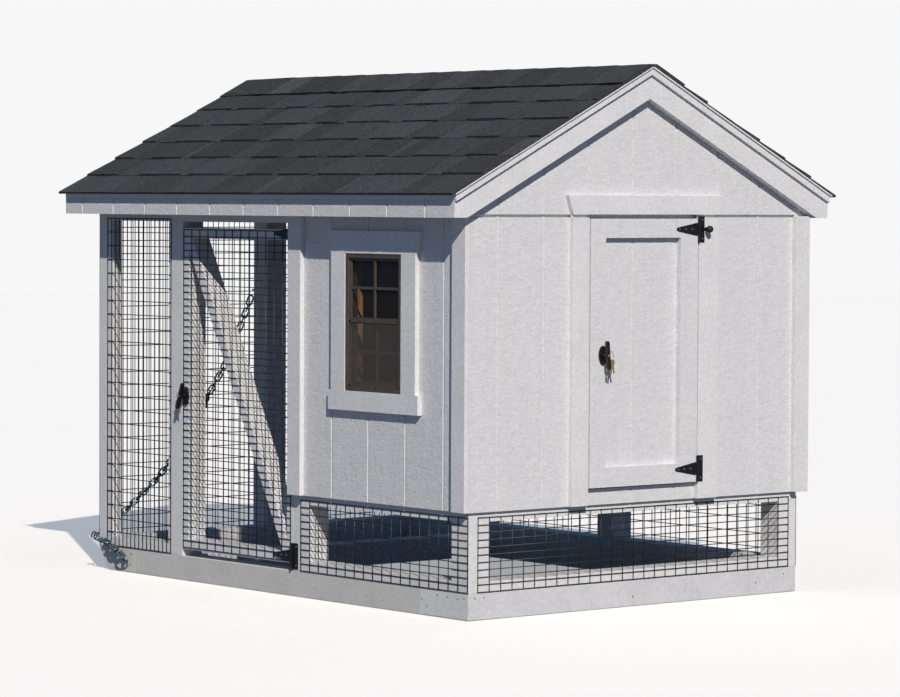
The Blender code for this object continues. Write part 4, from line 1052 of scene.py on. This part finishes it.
def make_handles():
    """The handles of the house door and the run door."""
    make_handle("door_handle", "house_door", Vector((1, 0, 0)), Vector((0, 1, 0)), 1)
    make_handle("run_handle", "run_door", Vector((0, -1, 0)), Vector((1, 0, 0)), -1)


# ---------------------------------------------------------------- chain

def smooth_point(before, start, end, after, t):
    """A point on the smooth curve through four points in turn, at t between the middle two."""
    return 0.5 * (
        2 * start
        + (end - before) * t
        + (2 * before - 5 * start + 4 * end - after) * t**2
        + (3 * start - before - 3 * end + after) * t**3
    )


def chain_points():
    """The chain's route: down across the end's wire, round the corner post, and back over itself."""
    outside = inches("mesh_left_end")[0].x - CHAIN_GAP - CHAIN_RADIUS
    front = inches("mesh_front_left")[0].y - CHAIN_GAP - CHAIN_RADIUS
    left, frame_front = inches("post_front_left")[0].xy
    route = [
        Vector((outside, -1.6, 40.8)),
        Vector((outside, -3.5, 36.6)),
        Vector((outside, -6.9, 29.8)),
        Vector((outside, -13.2, 20.8)),
        Vector((outside, -17.6, 14.8)),
        Vector((outside, -23.4, 9.8)),
        Vector((outside, frame_front + 1.5, 6.0)),
        Vector((outside + 0.1, front - 0.1, 4.9)),
        Vector((left + 2.1, front - 0.1, 4.2)),
        Vector((left + 4.8, front, 3.1)),
        Vector((left + 7.4, front, 1.95)),
        Vector((left + 7.6, front - 0.4, 2.3)),
        Vector((left + 6.4, front - 0.5, 3.1)),
        Vector((left + 4.6, front - 0.5, 3.9)),
        Vector((left + 2.8, front - 0.5, 4.5)),
    ]
    points = []
    for index in range(len(route) - 1):
        before = route[max(index - 1, 0)]
        after = route[min(index + 2, len(route) - 1)]
        for step in range(ROUTE_STEPS):
            points.append(smooth_point(before, route[index], route[index + 1], after, step / ROUTE_STEPS))
    return points


def make_chain():
    """The tow chain's links, each turned a quarter from the last."""
    # A direction that the chain never runs along, to turn the links from
    aside = Vector((1, 0.3, 0.2))
    points = chain_points()
    shape = bmesh.new()
    walked = 0
    count = 0
    for here, there in zip(points, points[1:]):
        walked += (there - here).length
        if walked < LINK_PITCH:
            continue
        walked -= LINK_PITCH
        along = (there - here).normalized()
        roll = Matrix.Rotation(math.radians(45 + 90 * (count % 2)), 3, along)
        across = roll @ along.cross(aside).normalized()
        add_loop(shape, there, along, across, LINK_LENGTH / 2, LINK_WIDTH / 2, LINK_WIRE)
        count += 1
    add_piece("chain_links", to_mesh("chain_links", shape), "zinc", "coop", ["chain"])


def make_chain_bolts():
    """The bolt and washer that hold the chain to the front skid, and the bolt at its upper end."""
    left, frame_front = inches("post_front_left")[0].xy
    bolt = bmesh.new()
    x, z = left + SKID_BOLT[0], SKID_BOLT[1]
    start = (x, frame_front + SKID_BOLT_START, z)
    add_rod(bolt, start, (x, frame_front - SKID_BOLT_REACH, z), SKID_BOLT_RADIUS, BOLT_SIDES)
    start = (x, frame_front - WASHER_FROM, z)
    add_rod(bolt, start, (x, frame_front - WASHER_REACH, z), WASHER_RADIUS, ROUND_SIDES)
    y, z = POST_BOLT
    inside = inches("post_left_centre")[0].x + POST_BOLT_START
    outside = inches("mesh_left_end")[0].x - CHAIN_GAP - CHAIN_RADIUS - POST_BOLT_SHORT
    add_rod(bolt, (inside, y, z), (outside, y, z), POST_BOLT_RADIUS, ROD_SIDES)
    add_piece("chain_bolts", to_mesh("chain_bolts", bolt), "brass", "coop")


# ---------------------------------------------------------------- base, window, inside

def make_skid_screws():
    """Screws and nails in the outer faces of the skids."""
    skid_low, skid_high = inches("runner_front")
    heads = bmesh.new()
    for x, z in FRONT_SCREWS:
        add_screw(heads, (skid_high.x + x, skid_low.y, z), (0, -1, 0), SKID_SCREW)
    for y, z in RIGHT_SCREWS:
        add_screw(heads, (skid_high.x, y, z), (1, 0, 0), SKID_SCREW)
    add_piece("skid_screws", to_mesh("skid_screws", heads), "zinc", "coop")


def make_skid_paint():
    """Fresher paint on the short blocks at the front skid's right end, and on the skids' right end faces."""
    low, high = inches("runner_front")
    coat = bmesh.new()
    block = FRONT_JOINTS[1] + JOINT_WIDTH / 2
    last = FRONT_JOINTS[2] - JOINT_WIDTH / 2
    corner = FRONT_JOINTS[2] + JOINT_WIDTH / 2
    for low_x, high_x in ((block, last), (corner, high.x - PAINT_KEEP)):
        near = (low_x, low.y - CORNER_PAINT, PAINT_KEEP)
        add_box(coat, near, (high_x, low.y + PAINT_KEEP, high.z - PAINT_KEEP))
    add_piece("skid_corner_paint", to_mesh("skid_corner_paint", coat), "trim_x", "coop")
    ends = bmesh.new()
    for runner in ("runner_front", "runner_back"):
        low, end = inches(runner)
        near = (high.x - PAINT_KEEP, low.y + PAINT_KEEP, PAINT_KEEP)
        add_box(ends, near, (high.x + CORNER_PAINT, end.y - PAINT_SHORT, end.z - PAINT_KEEP))
    add_piece("skid_end_paint", to_mesh("skid_end_paint", ends), "skid_y", "coop")


def make_window_parts():
    """The insect screen with its thin frame, and the window's metal with rolled edges."""
    low, high = inches("window_frame")
    y = low.y + SCREEN_BACK
    top = inches("sash_lower")[1].z - SCREEN_BELOW
    shape = bmesh.new()
    near = (low.x + SCREEN_INSET, y, low.z + SCREEN_INSET)
    add_box(shape, near, (high.x - SCREEN_INSET, y + SCREEN_THICK, top))
    add_piece("insect_screen", to_mesh("insect_screen", shape), "screen", "coop")
    left = low.x + RIM_INSET
    right = high.x - RIM_INSET
    bottom = low.z + RIM_INSET
    bars = (
        (left, bottom, right, bottom + RIM_WIDTH),
        (left, top - RIM_WIDTH, right, top),
        (left, bottom, left + RIM_WIDTH, top),
        (right - RIM_WIDTH, bottom, right, top),
    )
    rim = bmesh.new()
    for low_x, low_z, high_x, high_z in bars:
        add_box(rim, (low_x, y - RIM_FRONT, low_z), (high_x, y + RIM_BACK, high_z))
    add_piece("screen_frame", to_mesh("screen_frame", rim), "bronze", "coop")
    for node in ("window_frame", "sash_lower"):
        metal = node_shape(node)
        ease_edges(metal, ALUMINIUM_EDGE)
        add_piece(f"rolled_{node}", to_mesh(node, metal), "bronze", body_of(node), [node])


def make_studs():
    """Bare studs beside the window and a bare sill under it, inside the house."""
    low, high = inches("window_frame")
    wall = inches("post_front_right")[0].y
    front = wall + STUD_KEEP
    back = wall + STUD_DEPTH
    floor = inches("house_floor")[1].z + STUD_KEEP
    plate = inches("top_plates")[0].z - STUD_KEEP
    shape = bmesh.new()
    for x in (low.x - STUD_GAP - STUD_WIDTH, high.x + STUD_GAP):
        add_box(shape, (x, front, floor), (x + STUD_WIDTH, back, plate))
    sill = low.z - SILL_DROP
    add_box(shape, (low.x - SILL_REACH, front, sill - STUD_WIDTH), (high.x + SILL_REACH, back, sill))
    ease_edges(shape, TIMBER_EDGE)
    add_piece("window_studs", to_mesh("window_studs", shape), "pine_z", "coop")


def make_house_floor():
    """The house floor: strand board on top, and the painted frame that shows under the siding."""
    shape = node_shape("house_floor")
    top = inches("house_floor")[1].z * INCH
    for face in shape.faces:
        face.material_index = int(face.calc_center_median().z > top - 1 * MM)
    floor = to_mesh("house_floor", shape)
    add_piece("painted_house_floor", floor, "trim_x board", "coop", ["house_floor"])


def make_corner_returns():
    """Short painted blocks that close the seam's ends, between the corner boards and the soffits."""
    low, high = inches("gable_right")
    eave = abs(inches("fascia_front")[0].y)
    shape = bmesh.new()
    for sign in (1, -1):
        near, far = sorted((sign * (high.y - RETURN_LENGTH), sign * (eave - RETURN_KEEP)))
        corner = (low.x + RETURN_SUNK[0], near, low.z - RETURN_BELOW)
        add_box(shape, corner, (high.x - RETURN_SUNK[1], far, low.z + RETURN_ABOVE))
    add_piece("corner_returns", to_mesh("corner_returns", shape), "trim_x", "coop")


def make_back_boards():
    """Corner boards on the back wall of the house."""
    low, high = inches("siding_back")
    shape = bmesh.new()
    for x in (low.x, high.x - BACK_BOARD):
        add_box(shape, (x, high.y + BACK_BOARD_LIFT, low.z), (x + BACK_BOARD, high.y + TRIM, high.z))
    ease_edges(shape, BOARD_EDGE)
    add_piece("back_corner_boards", to_mesh("back_boards", shape), "trim_z", "coop")


def finish_nodes():
    """The CAD nodes whose shape is right as it is take their material."""
    finishes = {
        "roof_deck": "board",
        "nest_box": "pine_x",
        "partition": "siding",
        "glass_upper": "glass",
        "glass_lower": "glass",
    }
    finishes.update({node: "black" for node in frame["nodes"] if node.startswith("hinge_")})
    for node, finish in finishes.items():
        mesh = frame["nodes"][node].data
        mesh.materials.clear()
        mesh.materials.append(MATERIALS[finish])


# ---------------------------------------------------------------- floor, light, camera

def make_floor():
    """A wide round floor of matt paper: even and pale, with hardly any shine."""
    material, tree, surface = new_material("matt_paper", {"Roughness": 0.9, "Specular IOR Level": 0.1})
    clouds = add_node(
        tree,
        "ShaderNodeTexNoise",
        {"Vector": stretched(tree, (900, 900, 900)), "Scale": 1.0, "Detail": 3.0},
    )
    paper = [(0.35, FLOOR_TONES[0]), (0.65, FLOOR_TONES[1])]
    tint = add_node(tree, "ShaderNodeValToRGB", {"Fac": clouds.outputs["Fac"]}, stops=paper)
    seen = add_node(tree, "ShaderNodeLightPath").outputs["Is Camera Ray"]
    tone = add_node(tree, "ShaderNodeMixRGB", {0: seen, 1: linear(FLOOR_BOUNCE), 2: tint.outputs[0]})
    glow = add_node(tree, "ShaderNodeMath", {0: seen, 1: FLOOR_GLOW}, operation="MULTIPLY")
    surface.inputs["Emission Color"].default_value = linear("#ffffff")
    tree.links.new(glow.outputs[0], surface.inputs["Emission Strength"])
    tree.links.new(tone.outputs[0], surface.inputs["Base Color"])
    shape = bmesh.new()
    bmesh.ops.create_circle(shape, cap_ends=True, segments=64, radius=FLOOR_RADIUS)
    mesh = to_mesh("floor", shape)
    mesh.materials.append(material)
    floor = bpy.data.objects.new("floor", mesh)
    floor.location = (0, 0, -FLOOR_DROP)
    bpy.context.scene.collection.objects.link(floor)


def make_lights():
    """The sun-like lamp, and a world that lights with a cool fill but looks nearly white behind the coop."""
    lamp = bpy.data.lights.new("key_light", "SUN")
    lamp.energy = SUN_STRENGTH
    lamp.angle = math.radians(SUN_SIZE)
    lamp.color = linear(SUN_COLOUR)[:3]
    key = bpy.data.objects.new("key_light", lamp)
    turn = math.radians(SUN_TURN - 90)
    height = math.radians(SUN_HEIGHT)
    towards = Vector((math.cos(turn) * math.cos(height), math.sin(turn) * math.cos(height), math.sin(height)))
    key.rotation_euler = towards.to_track_quat("Z", "Y").to_euler()
    bpy.context.scene.collection.objects.link(key)
    world = bpy.data.worlds.new("studio")
    world.use_nodes = True
    tree = world.node_tree
    tree.nodes.clear()
    ray = add_node(tree, "ShaderNodeLightPath")
    seen = add_node(tree, "ShaderNodeBackground", {"Color": linear(BACKDROP_COLOUR), "Strength": 1.0})
    fill = add_node(tree, "ShaderNodeBackground", {"Color": linear(FILL_COLOUR), "Strength": FILL_STRENGTH})
    both = add_node(
        tree,
        "ShaderNodeMixShader",
        {0: ray.outputs["Is Camera Ray"], 1: fill.outputs[0], 2: seen.outputs[0]},
    )
    add_node(tree, "ShaderNodeOutputWorld", {"Surface": both.outputs[0]})
    bpy.context.scene.world = world
    bpy.context.scene.view_settings.view_transform = "Standard"


def make_camera():
    """The camera, turned, then dipped, then rolled a little."""
    lens = bpy.data.cameras.new("camera")
    lens.lens = CAMERA_LENS
    lens.clip_end = CAMERA_FAR_END
    camera = bpy.data.objects.new("camera", lens)
    tilt = Matrix.Rotation(math.radians(90 + CAMERA_DIP), 4, "X")
    turn = Matrix.Rotation(math.radians(CAMERA_TURN), 4, "Z")
    roll = Matrix.Rotation(math.radians(CAMERA_ROLL), 4, "Z")
    camera.matrix_world = Matrix.Translation(CAMERA_PLACE) @ turn @ tilt @ roll
    bpy.context.scene.collection.objects.link(camera)
    bpy.context.scene.camera = camera


# ---------------------------------------------------------------- main

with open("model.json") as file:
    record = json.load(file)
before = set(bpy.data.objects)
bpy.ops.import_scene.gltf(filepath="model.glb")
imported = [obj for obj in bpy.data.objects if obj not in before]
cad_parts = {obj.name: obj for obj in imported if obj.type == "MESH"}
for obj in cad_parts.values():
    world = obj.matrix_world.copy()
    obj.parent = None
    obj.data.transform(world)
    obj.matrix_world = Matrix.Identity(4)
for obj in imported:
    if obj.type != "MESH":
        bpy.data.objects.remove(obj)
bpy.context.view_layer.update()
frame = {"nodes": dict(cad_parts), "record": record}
MATERIALS = make_materials()

make_camera()
make_lights()
make_floor()
ease_boards()
groove_siding()
make_door_casing()
make_shingles()
make_drip_edges()
make_wires()
make_hinge_screws()
make_handles()
make_chain()
make_chain_bolts()
make_skid_screws()
make_skid_paint()
make_window_parts()
make_studs()
make_house_floor()
make_back_boards()
make_corner_returns()
finish_nodes()
